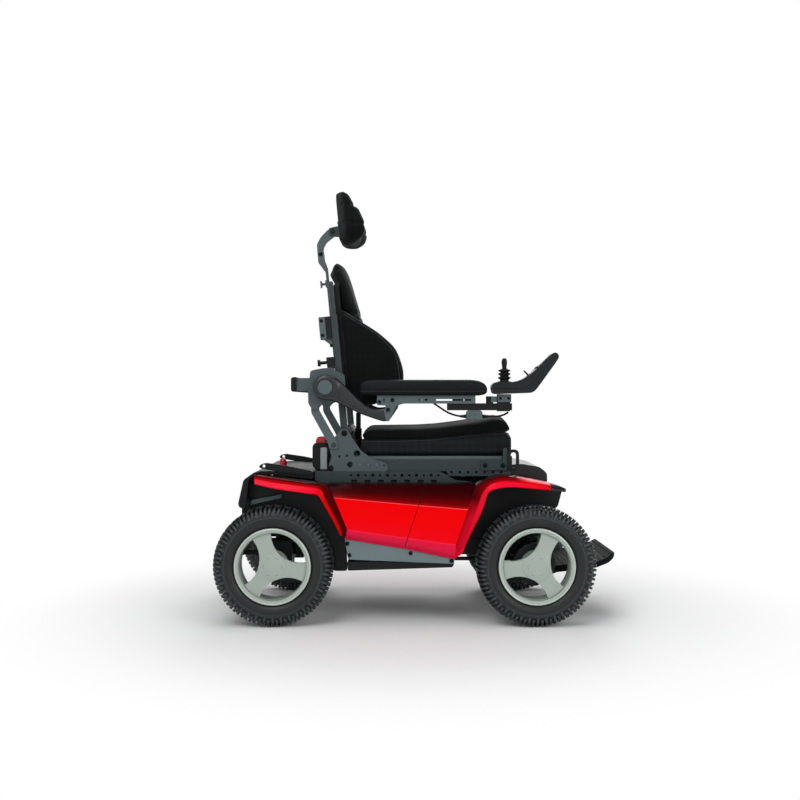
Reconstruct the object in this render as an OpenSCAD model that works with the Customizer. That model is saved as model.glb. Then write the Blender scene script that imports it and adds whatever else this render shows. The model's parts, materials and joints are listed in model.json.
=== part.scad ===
// All-terrain power wheelchair: four lugged tyres, red body panels, reclining seat and joystick.
// Millimetres. X forward, Y to the rider's left, Z up, floor at Z = 0.

/* [Wheels] */
// Distance from the rear axle to the front axle
wheelbase = 776; // [750:1:810]
// Distance between the left and right tyre centre planes
track = 590; // [580:1:620]
// Outside diameter of the tyres
tyre_d = 356; // [346:1:366]
// Section width of the tyres
tyre_w = 92; // [84:1:96]
// Rim flange diameter
rim_d = 226; // [216:1:232]
// Tread lugs round one tyre
lug_count = 36; // [28:1:40]
// Height of the tread lugs
lug_h = 8; // [5:1:9]
// Diameter of the axle shafts
axle_d = 25; // [22:1:28]
// Radius of the outer arc of the rim windows
window_r = 98; // [92:1:100]
// Radius of the inner arc of the rim windows
window_bite_r = 88; // [80:1:94]
// Turn of the windows on the rear wheels
rear_phase = 50; // [0:1:119]
// Turn of the windows on the front wheels
front_phase = 6; // [0:1:119]

/* [Steering] */
// Distance of the kingpin axis inboard of the tyre centre plane
kingpin_inset = 74; // [72:1:78]
// Kingpin diameter
kingpin_d = 20; // [16:1:22]
// Length of the steering arms
steer_arm = 85; // [76:1:92]
// Tie rod diameter
tie_rod_d = 14; // [10:1:16]

/* [Chassis] */
// Height of the base rails' top above the wheel centres
deck_rise = 274; // [266:1:284]
// Width of one main frame rail
rail_w = 35; // [30:1:40]
// Height of the main frame rails
rail_h = 50; // [44:1:54]
// Height of the belly plate above the wheel centres, negative below
belly_drop = -6; // [-10:1:-4]
// Half width over the body panels' crease line
panel_half = 334; // [330:1:337]
// Thickness of the moulded panels
panel_t = 4; // [3:0.5:5]
// Reach of the footplate tips ahead of the front axle
foot_reach = 266; // [256:1:280]
// Overall width of the pair of footplates
foot_w = 340; // [320:1:344]

/* [Seat] */
// Distance of the back pivot ahead of the rear axle
pivot_ahead = 206; // [202:1:212]
// Height of the back pivot above the deck
pivot_rise = 115; // [112:1:120]
// Gap between the seat cushion and each seat side plate
cushion_gap = 14; // [11:1:24]
// Depth of the seat cushion from the back pivot to its front edge
seat_depth = 509; // [490:1:520]
// Thickness of the upper seat cushion at the rear
cushion_t = 40; // [34:1:46]
// Thickness of the seat side plates
side_plate_t = 6; // [5:0.5:7]
// Half distance between the inner faces of the seat side plates
seat_half = 234; // [232:1:238]

/* [Back] */
// Rearward lean of the back at rest, degrees
back_lean = 5.3; // [3:0.1:8]
// Length of the back canes above the pivot
cane_len = 462; // [440:1:480]
// Fore and aft width of the canes
cane_w = 22; // [18:1:24]
// Height of the top of the back cushion above the pivot
back_top = 541; // [530:1:560]
// Height of the bottom of the back cushion above the pivot
back_bottom = 66; // [62:1:72]
// Distance of the back wings' outer faces inside the seat side plates
wing_in = 12; // [10:1:22]
// Length of the recline link between its pivots
link_len = 169; // [164:1:178]

/* [Headrest] */
// Width of the headrest pad
head_w = 250; // [220:1:280]
// Height of the headrest's lower pivot above the top of the back cushion
head_rise = 36; // [30:1:50]

/* [Armrests] */
// Distance of the armrest centre planes outboard of the seat side plates
arm_out = 35; // [32:1:42]
// Width of the arm pads
pad_w = 70; // [60:1:72]
// Length of the arm pads
pad_len = 380; // [350:1:400]
// Thickness of the arm pads
pad_t = 45; // [38:1:48]
// Radius of the armrest hubs
hub_r = 38; // [34:1:40]

/* [Joystick] */
// Width of the joystick pod
pod_w = 66; // [58:1:68]
// Diameter of the joystick lead
lead_d = 6; // [5:0.5:8]
// Radius of the bellows round the stick
boot_r = 20; // [17:0.5:21]

/* [Clearances] */
// Radial clearance of running fits
fit = 0.05; // [0.03:0.01:0.08]
// Gap between pieces that move past each other
gap = 0.5; // [0.4:0.1:0.6]
// Gap between neighbouring fixed covers
seam = 0.3; // [0.2:0.1:0.6]

/* [Hidden] */
$fn = 96;
tyre_r = tyre_d / 2;
wz = tyre_r;
rx = -(2 * tyre_r + wheelbase + foot_reach - tyre_r) / 2 + tyre_r;
fx = rx + wheelbase;
th = track / 2;
tw = tyre_w / 2;
rim_r = rim_d / 2;
bead_r = rim_r - 7;
axle_r = axle_d / 2;
king_y = th - kingpin_inset;
king_r = kingpin_d / 2;
dk = wz + deck_rise;
belly_top = wz + belly_drop + 18;
rail_z0 = belly_top;
rail_z1 = rail_z0 + rail_h;
rail_y0 = 130;
rail_y1 = rail_y0 + rail_w;
roof_y = (panel_half + rail_y1 - 7) / 2;
nose_half = foot_w / 2 + gap - seam;
gear_y1 = th - 63;
back_half = seat_half - wing_in;
deck_y0 = seat_half - 12;
deck_y1 = seat_half + side_plate_t + 2;
px = rx + pivot_ahead;
pz = dk + pivot_rise;
bpx = px - 32;
bpz = pz - 36;
ux = -sin(back_lean);
uz = cos(back_lean);
dpx = bpx + link_len * ux;
dpz = bpz + link_len * uz;
cpx = px + link_len * ux;
cpz = pz + link_len * uz;
hub_x = dpx - 7;
hub_z = dpz + 5;
cane_y0 = seat_half - 22;
cane_y1 = seat_half - gap;
link_y0 = seat_half + side_plate_t + gap;
link_y1 = link_y0 + 6;
carry_y0 = link_y1 + gap;
carry_y1 = carry_y0 + 8;
arm_y0 = carry_y1 + gap;
plate_out = seat_half + side_plate_t;
arm_half = plate_out + arm_out;
arm_y1 = arm_half + 15;
pin_r = 8;
boss_r = 15;
pan_z = dk + 45;
seat_front = px + seat_depth;
nose_x1 = max(fx + 52, seat_front + 113);
pad_x0 = hub_x + 103;
pad_z0 = hub_z - 23;
pod_x = pad_x0 + pad_len + 53;
pod_z = hub_z - 20;
stick_x = pod_x - 2;
stick_z = pod_z + 28;
foot_x = fx + 71;
foot_z = wz - 32;
foot_tip = fx + foot_reach;
bar_z0 = 288;
bar_z1 = 356;
knob_z = bar_z0 - 70;
tie_y = seat_half + 28;

// Corner-rounded copy of an outline
function soft(p, r, n = 4) = [
    for (i = [0:len(p) - 1])
        let (c = p[i], a = p[(i + len(p) - 1) % len(p)], b = p[(i + 1) % len(p)])
        let (ra = min(r, norm(a - c) / 2.01), rb = min(r, norm(b - c) / 2.01))
        let (s = c + (a - c) / norm(a - c) * ra, e = c + (b - c) / norm(b - c) * rb)
        for (j = [0:n]) let (t = j / n) (1 - t) * (1 - t) * s + 2 * t * (1 - t) * c + t * t * e
];

// Outline in X and Z, as thick as y0 to y1
module slab(p, y0, y1) {
    translate([0, y1, 0])
    rotate([90, 0, 0])
    linear_extrude(y1 - y0)
    polygon(p);
}

module box(x0, x1, y0, y1, z0, z1) {
    translate([x0, y0, z0])
    cube([x1 - x0, y1 - y0, z1 - z0]);
}

module ycyl(x, z, r, y0, y1) {
    translate([x, y1, z])
    rotate([90, 0, 0])
    cylinder(r = r, h = y1 - y0);
}

module zcyl(x, y, r, z0, z1) {
    translate([x, y, z0])
    cylinder(r = r, h = z1 - z0);
}

module xcyl(y, z, r, x0, x1) {
    translate([x0, y, z])
    rotate([0, 90, 0])
    cylinder(r = r, h = x1 - x0);
}

module pair() {
    children();
    mirror([0, 1, 0]) children();
}

module right() {
    mirror([0, 1, 0]) children();
}

// Frame of the reclined back: origin at the pivot, z along the canes
module back_frame() {
    translate([px, 0, pz])
    rotate([0, -back_lean, 0])
    children();
}

// Closed skin through rings of equal point counts
module loft(rings) {
    n = len(rings);
    m = len(rings[0]);
    last = (n - 1) * m;
    sides = [
        for (i = [0:n - 2]) for (j = [0:m - 1])
            let (k = (j + 1) % m)
            each [[i * m + j, (i + 1) * m + k, i * m + k], [i * m + j, (i + 1) * m + j, (i + 1) * m + k]]
    ];
    first_cap = [for (j = [1:m - 2]) [0, j, j + 1]];
    last_cap = [for (j = [1:m - 2]) [last, last + j + 1, last + j]];
    polyhedron(points = [for (r = rings) each r], faces = concat(sides, first_cap, last_cap));
}

// Sheet between two grids of points, rows by columns
module skin(outer, inner) {
    n = len(outer);
    m = len(outer[0]);
    s = n * m;
    front = [
        for (i = [0:n - 2]) for (j = [0:m - 2])
            let (a = i * m + j)
            each [[a, a + m, a + m + 1], [a, a + m + 1, a + 1]]
    ];
    back = [for (f = front) [s + f[0], s + f[2], s + f[1]]];
    left = [for (i = [0:n - 2]) let (a = i * m) each [[a, s + a, s + a + m], [a, s + a + m, a + m]]];
    rite = [for (i = [0:n - 2]) let (a = i * m + m - 1) each [[a, a + m, s + a + m],
        [a, s + a + m, s + a]]];
    head = [for (j = [0:m - 2]) each [[j, j + 1, s + j + 1], [j, s + j + 1, s + j]]];
    b = (n - 1) * m;
    foot = [for (j = [0:m - 2]) each [[b + j, s + b + j + 1, b + j + 1],
        [b + j, s + b + j, s + b + j + 1]]];
    polyhedron(
        points = concat([for (r = outer) each r], [for (r = inner) each r]),
        faces = concat(front, back, left, rite, head, foot)
    );
}

function shift(grid, v) = [for (r = grid) [for (p = r) p + v]];

// Rounded section, square-ish when e is large
function lobe(a, b, e, m) = [
    for (j = [0:m - 1])
        let (t = 360 * j / m, c = cos(t), s = sin(t))
        [a * sign(c) * pow(abs(c), 2 / e), b * sign(s) * pow(abs(s), 2 / e)]
];

// Wheel pieces stand at the origin with the axle along Y and the outer face towards +Y

module tyre() {
    base = tyre_r - lug_h;
    rotate([90, 0, 0])
    rotate_extrude()
    polygon([
        [bead_r, -(tw - 10)], [rim_r, -(tw - 10)], [rim_r + 2, -(tw - 5)], [rim_r + 26, -tw],
        [base - 10, -tw], [base, -(tw - 9)], [base, tw - 9], [base - 10, tw], [rim_r + 26, tw],
        [rim_r + 2, tw - 5], [rim_r, tw - 10], [bead_r, tw - 10], [bead_r, tw - 22], [rim_r + 18, tw - 11],
        [base - 18, tw - 11], [base - 9, tw - 22], [base - 9, -(tw - 22)], [base - 18, -(tw - 11)],
        [rim_r + 18, -(tw - 11)], [bead_r, -(tw - 22)]
    ]);
    pitch = 360 / lug_count;
    top = sqrt(tyre_r * tyre_r - 81);
    for (i = [0:lug_count - 1])
        rotate([0, pitch * i, 0]) {
            translate([-9, tw * 0.46, base - 8])
            cube([18, tw * 0.54 - 2, top - base + 8]);
            rotate([0, pitch / 2, 0]) {
                translate([-9, -tw + 2, base - 8])
                cube([18, tw * 0.54 - 2, top - base + 8]);
                translate([-7, -tw * 0.3, base - 8])
                cube([14, tw * 0.6, top - base + 8]);
            }
        }
}

module rim(phase, inner_end) {
    bite_x = window_bite_r + 40;
    difference() {
        rotate([-90, 0, 0])
        rotate_extrude()
        polygon([
            [axle_r + fit, -12], [30, -12], [30, 20], [bead_r - 5, 20], [bead_r - 5, -(tw - 10)],
            [bead_r - 5, -(tw - 5)], [rim_r, -(tw - 5)], [rim_r, -(tw - 10)], [bead_r, -(tw - 10)],
            [bead_r, tw - 10], [rim_r, tw - 10], [rim_r, tw - 5], [rim_r - 4, tw - 4], [bead_r - 6, tw - 6],
            [window_r + 1, 33], [44, 35], [40, 38], [axle_r + fit, 38]
        ]);
        for (i = [0:2])
            rotate([0, -(phase + 120 * i), 0])
            intersection() {
                rotate([-90, 0, 0]) cylinder(r = window_r, h = 200, center = true);
                translate([bite_x, 0, 0])
                rotate([-90, 0, 0])
                cylinder(r = window_bite_r, h = 200, center = true);
            }
    }
    // axle shaft with its drive flange against the hub
    ycyl(0, 0, axle_r, inner_end, 37.5);
    difference() {
        ycyl(0, 0, 42, -17, -12);
        ycyl(0, 0, axle_r, -18, -11);
    }
    // domed cap over the hub
    translate([0, 38, 0])
    rotate([-90, 0, 0])
    rotate_extrude()
    polygon([[0, 0], [38, 0], [36, 1.5], [24, 3], [0, 3.6]]);
}

module wheel_at(x, left) {
    translate([x, left ? th : -th, wz])
    mirror([0, left ? 0 : 1, 0])
    children();
}

rear_axle_end = 160 - th;
front_axle_end = king_y + 14 - th;

module rear_right_tyre() color("#1b1c1e") wheel_at(rx, false) tyre();
module rear_left_tyre() color("#1b1c1e") wheel_at(rx, true) tyre();
module front_right_tyre() color("#1b1c1e") wheel_at(fx, false) tyre();
module front_left_tyre() color("#1b1c1e") wheel_at(fx, true) tyre();
module rear_right_rim() color("#c3c9c6") wheel_at(rx, false) rim(rear_phase, rear_axle_end);
module rear_left_rim() color("#c3c9c6") wheel_at(rx, true) rim(rear_phase, rear_axle_end);
module front_right_rim() color("#c3c9c6") wheel_at(fx, false) rim(front_phase, front_axle_end);
module front_left_rim() color("#c3c9c6") wheel_at(fx, true) rim(front_phase, front_axle_end);

// Steering knuckle with kingpin, hub motor housing and steering arm
module knuckle() {
    motor_y0 = th - 40;
    difference() {
        union() {
            zcyl(fx, king_y, 22, wz - 58.5, wz + 58.5);
            ycyl(fx, wz, 34, king_y, motor_y0);
            ycyl(fx, wz, 62, motor_y0, th - 18);
            box(fx - steer_arm, fx, king_y - 11, king_y + 11, wz - 58.5, wz - 46);
            zcyl(fx - steer_arm, king_y, 14, wz - 58.5, wz - 46);
        }
        ycyl(fx, wz, axle_r + fit, king_y + 13, th);
        zcyl(fx - steer_arm, king_y, 6 + fit * 2, wz - 60, wz - 40);
        zcyl(fx, king_y, king_r, wz - 80, wz + 80);
    }
    zcyl(fx, king_y, king_r, wz - 71, wz + 71);
}

module left_knuckle() color("#3f4447") knuckle();
module right_knuckle() color("#3f4447") right() knuckle();

module tie_rod() color("#9aa0a2") {
    z = wz - 46 + gap + 9;
    difference() {
        ycyl(fx - steer_arm, z, tie_rod_d / 2, -king_y + 6, king_y - 6);
        pair() zcyl(fx - steer_arm, king_y, 12, z - 20, z + 20);
    }
    pair() {
        zcyl(fx - steer_arm, king_y, 12, z - 9, z + 9);
        zcyl(fx - steer_arm, king_y, 6, wz - 57, z);
    }
}

// Frame of rails, cross members, front axle beam with kingpin yokes and deck posts, tube by tube
module chassis_frame() color("#2c3033") {
    beam_x0 = fx - 25;
    beam_x1 = fx + 25;
    plate_y = king_y - 42;
    pair() {
        box(rx + 47, beam_x0 - seam, rail_y0, rail_y1, rail_z0, rail_z1);
        box(beam_x0, beam_x1, plate_y, plate_y + 15, wz - 72, wz + 72);
        for (z = [wz - 72, wz + 59])
            yoke(z, plate_y + 15 + seam);
        // deck posts and outriggers
        for (x = [px - 26, px + 296])
            box(x, x + 36, rail_y0, rail_y1, rail_z1 + seam, dk - 66 - seam);
        box(fx - 14, fx + 16, 96, 130, rail_z1 + seam, wz + 217 - seam);
        for (x = [px + 76, px + 246])
            box(x, x + 30, rail_y1 + seam, panel_half - 24, rail_z0, rail_z0 + 14);
        xcyl(96, wz - 11, 6, px + 325, beam_x0 - seam);
        box(beam_x0, beam_x1, 88, 104, wz - 20, rail_z0 - seam);
        box(px - 89, px - 50, rail_y1 - 15, rail_y1 + 20, rail_z1 + seam, dk - 42 - seam);
    }
    box(beam_x0, beam_x1, -(plate_y - seam), plate_y - seam, rail_z0, rail_z1);
    for (x = [rx + 47, px - 74])
        box(x, x + 38, -(rail_y0 - seam), rail_y0 - seam, rail_z0, rail_z1);
    for (x = [px - 26, px + 296])
        box(x, x + 36, -deck_y1, deck_y1, dk - 66, dk - 42);
    box(px - 89, px - 50, -deck_y0, deck_y0, dk - 42, dk);
    box(fx - 60, nose_x1 - 24, -(nose_half - 6), nose_half - 6, wz + 217, wz + 222);
}

module yoke(z, y0) {
    difference() {
        union() {
            box(fx - 20, fx + 20, y0, king_y, z, z + 13);
            zcyl(fx, king_y, 20, z, z + 13);
        }
        zcyl(fx, king_y, king_r + fit, z - 1, z + 14);
    }
}

module belly_tray() color("#17191a") {
    slab(soft([
        [px + 14, wz - 15], [px + 12, belly_top], [fx - 240, belly_top], [fx - 246, wz - 5]
    ], 5), -(panel_half - 24), panel_half - 24);
}

module batteries() color("#232628") {
    for (x = [px + 18, px + 156])
        difference() {
            box(x, x + 132, -160, 160, rail_z1, dk - 70);
            box(x + 36, x + 96, -60, 60, dk - 74, dk - 60);
        }
}

module power_controller() color("#2a2d2f") {
    box(px - 72, px - 40, -92, 92, rail_z1, rail_z1 + 80);
    for (i = [-4:4])
        box(px - 70, px - 42, i * 20 - 2, i * 20 + 2, rail_z1 + 80, rail_z1 + 88);
}

module rear_gear_motors() color("#34383a") pair() {
    difference() {
        union() {
            box(rx - 48, rx + 47, 150, gear_y1, wz - 46, rail_z1);
            ycyl(rx, wz, 26, gear_y1, th - 18);
            ycyl(rx, wz + 10, 44, 18, 150);
            ycyl(rx, wz + 10, 30, 10, 18);
        }
        ycyl(rx, wz, axle_r + fit, 158, th);
    }
}

hood_y = 300;

module rear_hood() color("#1a1c1e") {
    outer = soft([
        [px - 92, dk - 22], [px - 92, dk - 2], [rx + 60, dk - 2], [rx + 16, dk + 2], [rx - 26, dk + 2],
        [rx - 58, dk + 1], [rx - 90, dk - 22], [rx - 106, dk - 94], [rx - 100, dk - 106],
        [rx - 84, dk - 104],
        [rx - 74, dk - 20], [rx - 56, dk - 3.5]
    ], 7, 3);
    bay_y = gear_y1 + 4;
    difference() {
        slab(outer, -hood_y, hood_y);
        slab([
            [px - 96, dk - 60], [px - 96, dk - 7], [rx + 58, dk - 7], [rx + 14, dk - 3], [rx - 26, dk - 3],
            [rx - 55, dk - 4.5], [rx - 85, dk - 25], [rx - 101, dk - 94], [rx - 101, dk - 160],
            [px - 96, dk - 160]
        ], -bay_y, bay_y);
        // room for the tie-down plates beside the roof
        pair() box(rx - 46, px, tie_y, hood_y + 1, dk - 40, dk + 20);
    }
    // panel that closes the back of the hood down to the motors
    box(rx - 104, rx - 99, -bay_y, bay_y, wz + 20, dk - 92);
    pair() box(rx - 99, rx - 48, gear_y1 - 36, gear_y1 - 6, wz + 20, wz + 30);
}

module nose_cover() color("#1b1d1f") {
    x0 = seat_front + 1.5;
    o = [
        [x0, wz + 222], [x0, dk + 16], [x0 + 35, dk + 18], [nose_x1 - 22, dk + 8],
        [nose_x1, dk - 11], [nose_x1, wz + 222]
    ];
    difference() {
        slab(soft(o, 8), -nose_half, nose_half);
        box(x0 + 4, nose_x1 - 5, -(nose_half - 5), nose_half - 5, wz + 200, dk - 14);
    }
}

// Side panels: an upper face leaning in, a flat middle and a tucked lower face
module panel(rear, front) {
    y = [panel_half - 30, panel_half, panel_half - 2, panel_half - 15];
    g = [for (i = [0:3]) [[rear[i][0], y[i], rear[i][1]], [front[i][0], y[i], front[i][1]]]];
    skin(g, shift(g, [0, -panel_t, 0]));
}

panel_rear = [
    [rx + 160, wz + 240], [rx + 180.5, wz + 202.5], [rx + 219.5, wz + 108.5], [rx + 211, wz + 80]
];
panel_seam = [
    [rx + 446, wz + 240], [rx + 428, wz + 179.5], [rx + 396, wz + 83.5], [rx + 388, wz + 51]
];
panel_front = [
    [fx - 178.4, wz + 240], [fx - 202.4, wz + 167.5], [fx - 237.9, wz + 64], [fx - 239.4, wz + 20]
];

module side_panels() color("#d9121a") pair() {
    panel(panel_rear, [for (p = panel_seam) p - [0.7, 0]]);
    panel([for (p = panel_seam) p + [0.7, 0]], panel_front);
}

module sill_plates() color("#8b9596") pair() {
    slab([
        [rx + 210.5, wz + 84], [rx + 221, wz + 18.5], [fx - 243, wz + 6], [fx - 240.5, wz + 23],
        [rx + 388, wz + 56]
    ], panel_half - 24, panel_half - 19 - seam);
}

// Fender skin: roof edge, shoulder, lip root and lip, station by station round the arch
function arch(cx, st) = [
    for (s = st) [
        [cx + s[0], roof_y, wz + s[1]],
        [cx + s[0], panel_half - 8, wz + s[1]],
        [cx + s[2], panel_half - 10, wz + s[3]],
        [cx + s[4], panel_half + 2, wz + s[5]]
    ]
];
function under(cx, g, t) = [
    for (r = g) [
        for (p = r)
            let (v = [cx - p[0], 0, wz - p[2]])
            p + v / norm(v) * t - [0, p[1] > panel_half - 20 ? 2.5 : 0, 0]
    ]
];
rear_arch = arch(rx, [
    [213, 86, 204, 90, 199, 96], [219, 110, 194, 122, 184, 126], [180, 204, 156, 195, 148, 190],
    [157, 237, 141, 226, 132, 211], [102, 246, 100, 235, 97, 217], [12, 259, 11, 246, 9, 230],
    [-54, 268, -55, 258, -52, 244]
]);
front_arch = arch(fx, [
    [-239, 24, -230, 30, -219, 44], [-237.5, 66, -214, 71, -206, 77], [-202, 167, -178, 167, -163, 164],
    [-181, 230, -161, 213, -146, 214], [-154, 250, -139, 240, -131, 226], [-116, 264, -108, 250, -104, 233],
    [-80, 265, -74, 250, -69, 235], [-14, 254, -12, 242, -10, 230], [40, 243, 41, 234, 42, 226]
]);

module fenders() color("#c91018") {
    pair() {
        skin(under(rx, rear_arch, panel_t), rear_arch);
        skin(front_arch, under(fx, front_arch, panel_t));
    }
}

module fender_tips() color("#202325") pair() {
    g = arch(fx, [[40.6, 243, 41.6, 234, 42.6, 226], [66, 236, 66, 231, 66, 225],
        [84, 229, 86, 227, 84, 222]]);
    skin(g, under(fx, g, panel_t));
}

// Inner wheel-arch liners between the fender roofs and the frame
module arch_liners() color("#16181a") pair() {
    y0 = nose_half + seam;
    slab(soft([
        [rx - 76, wz + 150], [rx - 72, wz + 206], [rx - 64, wz + 262], [rx + 12, wz + 254],
        [px - 106, wz + 240], [px - 92, dk - 45], [rx + 160, wz + 226], [rx + 212, wz + 86],
        [rx + 216, wz - 26], [rx + 172, wz - 26], [rx + 150, wz + 80], [rx + 100, wz + 130],
        [rx + 20, wz + 160]
    ], 10), roof_y - 4 + seam, roof_y - seam);
    // stay under the rear fender
    slab(soft([
        [rx - 74, wz + 174], [rx - 74, wz + 188], [rx + 20, wz + 208], [rx + 20, wz + 194]
    ], 3), roof_y, roof_y + 16);
    slab(soft([
        [fx - 205, wz + 50], [fx - 205, wz + 225], [fx - 146, wz + 236], [fx + 40, wz + 236],
        [fx + 98, wz + 214], [fx + 84, wz + 160], [fx + 66, wz + 150], [fx - 40, wz + 110],
        [fx - 120, wz + 90]
    ], 8), y0, y0 + 4.7);
    slab([
        [fx - 146, wz + 232], [fx - 146, wz + 236], [fx + 38, wz + 232], [fx + 38, wz + 228]
    ], y0 + 4.7, roof_y);
}

// Deck rails with rows of holes and slots
module base_rails() color("#7f8888") pair() {
    difference() {
        slab(soft([
            [px - 89, dk - 27], [px - 89, dk], [px + 289, dk], [px + 334, dk - 27],
            [px + 388, dk - 33], [px + 388, dk - 42], [px - 40, dk - 42]
        ], 4, 2), deck_y0, deck_y1);
        for (i = [0:12])
            ycyl(px + 20 + i * 22, dk - 12, i % 2 == 0 ? 3.4 : 5, deck_y0 - 1, deck_y1 + 1);
        for (i = [0:6])
            translate([px + 30 + i * 40, 0, dk - 29]) {
                ycyl(-6, 0, 3.5, deck_y0 - 1, deck_y1 + 1);
                ycyl(6, 0, 3.5, deck_y0 - 1, deck_y1 + 1);
                box(-6, 6, deck_y0 - 1, deck_y1 + 1, -3.5, 3.5);
            }
    }
}

// Tie-down plates with an eye, bolted to the sides of the hood
module rear_tie_downs() color("#2e3234") pair() {
    difference() {
        slab(soft([
            [rx - 49, dk + 16], [rx - 40, dk + 24], [rx - 25, dk + 27], [rx + 37, dk + 18],
            [px - 96, dk + 3], [px - 96, dk - 8], [rx + 40, dk - 4], [rx - 25, dk + 7], [rx - 42, dk + 10]
        ], 6), tie_y + seam, tie_y + 8);
        ycyl(rx - 33, dk + 17.5, 4.5, tie_y - 1, tie_y + 9);
    }
}

post_x0 = px - 100;

module tail_light_posts() color("#1c1e20") pair() {
    slab(soft([
        [post_x0 + 12, dk], [post_x0, dk + 14], [post_x0, dk + 74], [post_x0 + 7, dk + 84 - seam],
        [post_x0 + 49, dk + 84 - seam], [post_x0 + 49, dk]
    ], 5), 158, 200);
}

module tail_light_lenses() color("#b5121a") {
    pair() slab(soft([
        [post_x0 + 9, dk + 84], [post_x0 + 12, dk + 97], [post_x0 + 18, dk + 103],
        [post_x0 + 36, dk + 104], [post_x0 + 39, dk + 98], [post_x0 + 39, dk + 84]
    ], 4), 163, 195);
    translate([rx - 6, 0, dk + 2])
    rotate_extrude()
    polygon([[0, 0], [13, 0], [13, 10], [11, 18], [6, 23], [0, 24]]);
}

// Visible fasteners of the chassis and seat
module bolts() color("#101112") {
    pair() {
        for (p = [[rx + 219, wz + 66], [rx + 225, wz + 32], [rx + 405, wz + 37.5], [fx - 250, wz + 15]])
            ycyl(p[0], p[1], 6, panel_half - 19 - seam, panel_half - 16);
        for (p = [[px, pz], [bpx - 9, pz - 106]])
            ycyl(p[0], p[1], 9, plate_out, plate_out + 0.3 * gap + 0.2);
        for (p = [[seat_front - 84, dk + 18], [seat_front - 30, dk + 18]])
            ycyl(p[0], p[1], 7, plate_out, plate_out + 5);
    }
}

// Seat frame: side rails, cross tubes and the pan under the cushion
module seat_frame() color("#3a3f41") {
    difference() {
        union() {
            pair() {
                slab([
                    [px + 21, dk], [px + 21, pan_z], [seat_front - 2, pan_z], [seat_front - 2, dk],
                    [seat_front - 8, dk - 15], [px + 316, dk - 15], [px + 308, dk]
                ], seat_half - 20, seat_half);
                slab(soft([
                    [seat_front - 96, dk + 3], [seat_front - 96, dk + 27], [seat_front - 30, dk + 27],
                    [seat_front - 30, dk + 70], [seat_front - 17, dk + 70], [seat_front - 17, dk + 3]
                ], 4, 2), seat_half, plate_out);
            }
            for (x = [px + 46, px + 266, seat_front - 31])
                ycyl(x, dk + 23, 11, -(seat_half - 19), seat_half - 19);
            box(px + 24, seat_front - 6, -(seat_half - 19), seat_half - 19, pan_z - 3, pan_z);
        }
        pair() for (i = [0:6])
            ycyl(px + 324 + i * 25, dk - 3, 4, seat_half - 21, seat_half + 1);
    }
}

module seat_side_plates() color("#565d5f") pair() {
    difference() {
        slab(soft([
            [px - 44, dk], [px - 48, dk + 18], [px - 38, dk + 44], [px - 48, dk + 76], [px - 38, pz - 22],
            [px - 16, pz + 4], [px - 8, pz + 13], [px + 8, pz + 13], [px + 16, pz],
            [px + 22, pz - 12], [px + 50, dk + 62], [px + 84, dk + 38], [px + 124, dk + 26],
            [px + 132, dk + 14], [px + 132, dk]
        ], 9), seat_half, plate_out);
        ycyl(px, pz, pin_r + fit, seat_half - 1, plate_out + 1);
        ycyl(bpx, bpz, pin_r + fit, seat_half - 1, plate_out + 1);
        for (p = [[-15, 44, 4], [8, 47, 4], [38, 53, 10], [17, 20, 9], [46, 20, 7.5],
            [72, 20, 7.5], [98, 20, 7.5], [120, 18, 3]])
            ycyl(px + p[0], dk + p[1], p[2], seat_half - 1, plate_out + 1);
    }
}

// Geared recline drive on the pivot axis, with a stub shaft through each cane
module recline_drive() color("#2b2f31") {
    ycyl(px, pz, 18, -(cane_y0 - gap), cane_y0 - gap);
    ycyl(px, pz, 19, -120, 120);
    pair() {
        ycyl(px, pz, pin_r, cane_y0 - gap - 1, plate_out);
        ycyl(bpx, bpz, pin_r, seat_half - 6, link_y1 + 0.3);
        ycyl(bpx, bpz, 12, seat_half - 8, seat_half);
    }
    // recline stop behind the cushion: a rod in a rubber bellows
    translate([px + 33, 0, pan_z + seam])
    rotate_extrude()
    polygon([
        [0, 0], [12.5, 0], [12.5, 42], [9.5, 46], [12.5, 50], [9.5, 54], [12.5, 58], [9.5, 62], [12.5, 66],
        [9.5, 70], [12.5, 74], [8, 79], [8, 126], [6, 129], [0, 129]
    ]);
}

module tie_down_loops() color("#151617") pair() {
    x = seat_front;
    difference() {
        slab(soft([
            [x - 17, dk + 2], [x - 17, dk + 66], [x + 18, dk + 66], [x + 18, dk + 2]
        ], 16), plate_out - 3, plate_out + 6);
        slab(soft([
            [x - 7, dk + 11], [x - 7, dk + 57], [x + 9, dk + 57], [x + 9, dk + 11]
        ], 8), plate_out - 4, plate_out + 7);
    }
}

// Cushions: sections across the seat, crowned on top and drawn in at the sides
function seat_ring(x, hw, z0, z1, crown, e) = [
    for (p = lobe(hw, 1, e, 28))
        let (f = p[0] / hw, up = p[1] > 0, h = (z1 - z0) / 2 + (up ? crown * (1 - f * f) : 0))
        [x, p[0] * (up ? 1 : 0.985), (z0 + z1) / 2 + p[1] * h]
];
seat_half_w = seat_half - cushion_gap;
top0 = pan_z + 48 + cushion_t;

module seat_cushion() color("#1d1e20") {
    sx = px + 50;
    L = seat_front - 2 - sx;
    zb = pan_z + 48.5;
    st = [
        [0, 0.93, 2, -20, 3], [0.012, 0.965, 0.3, -8, 5], [0.05, 0.99, 0, 0, 7], [0.2, 1, 0, 1, 8],
        [0.38, 1, 1, 2, 8], [0.52, 1, 5, 6, 8], [0.66, 1, 10, 14, 8], [0.8, 1, 16, 24, 7],
        [0.9, 0.995, 20, 33, 7], [0.955, 0.985, 21, 33, 6], [0.985, 0.965, 22, 20, 5], [1, 0.93, 24, 2, 3]
    ];
    loft([
        for (s = st)
            let (crown = s[0] == 0 || s[0] == 1 ? 0 : 6)
            seat_ring(sx + s[0] * L, seat_half_w * s[1], zb + s[2], top0 + s[3], crown, s[4])
    ]);
}

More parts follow.
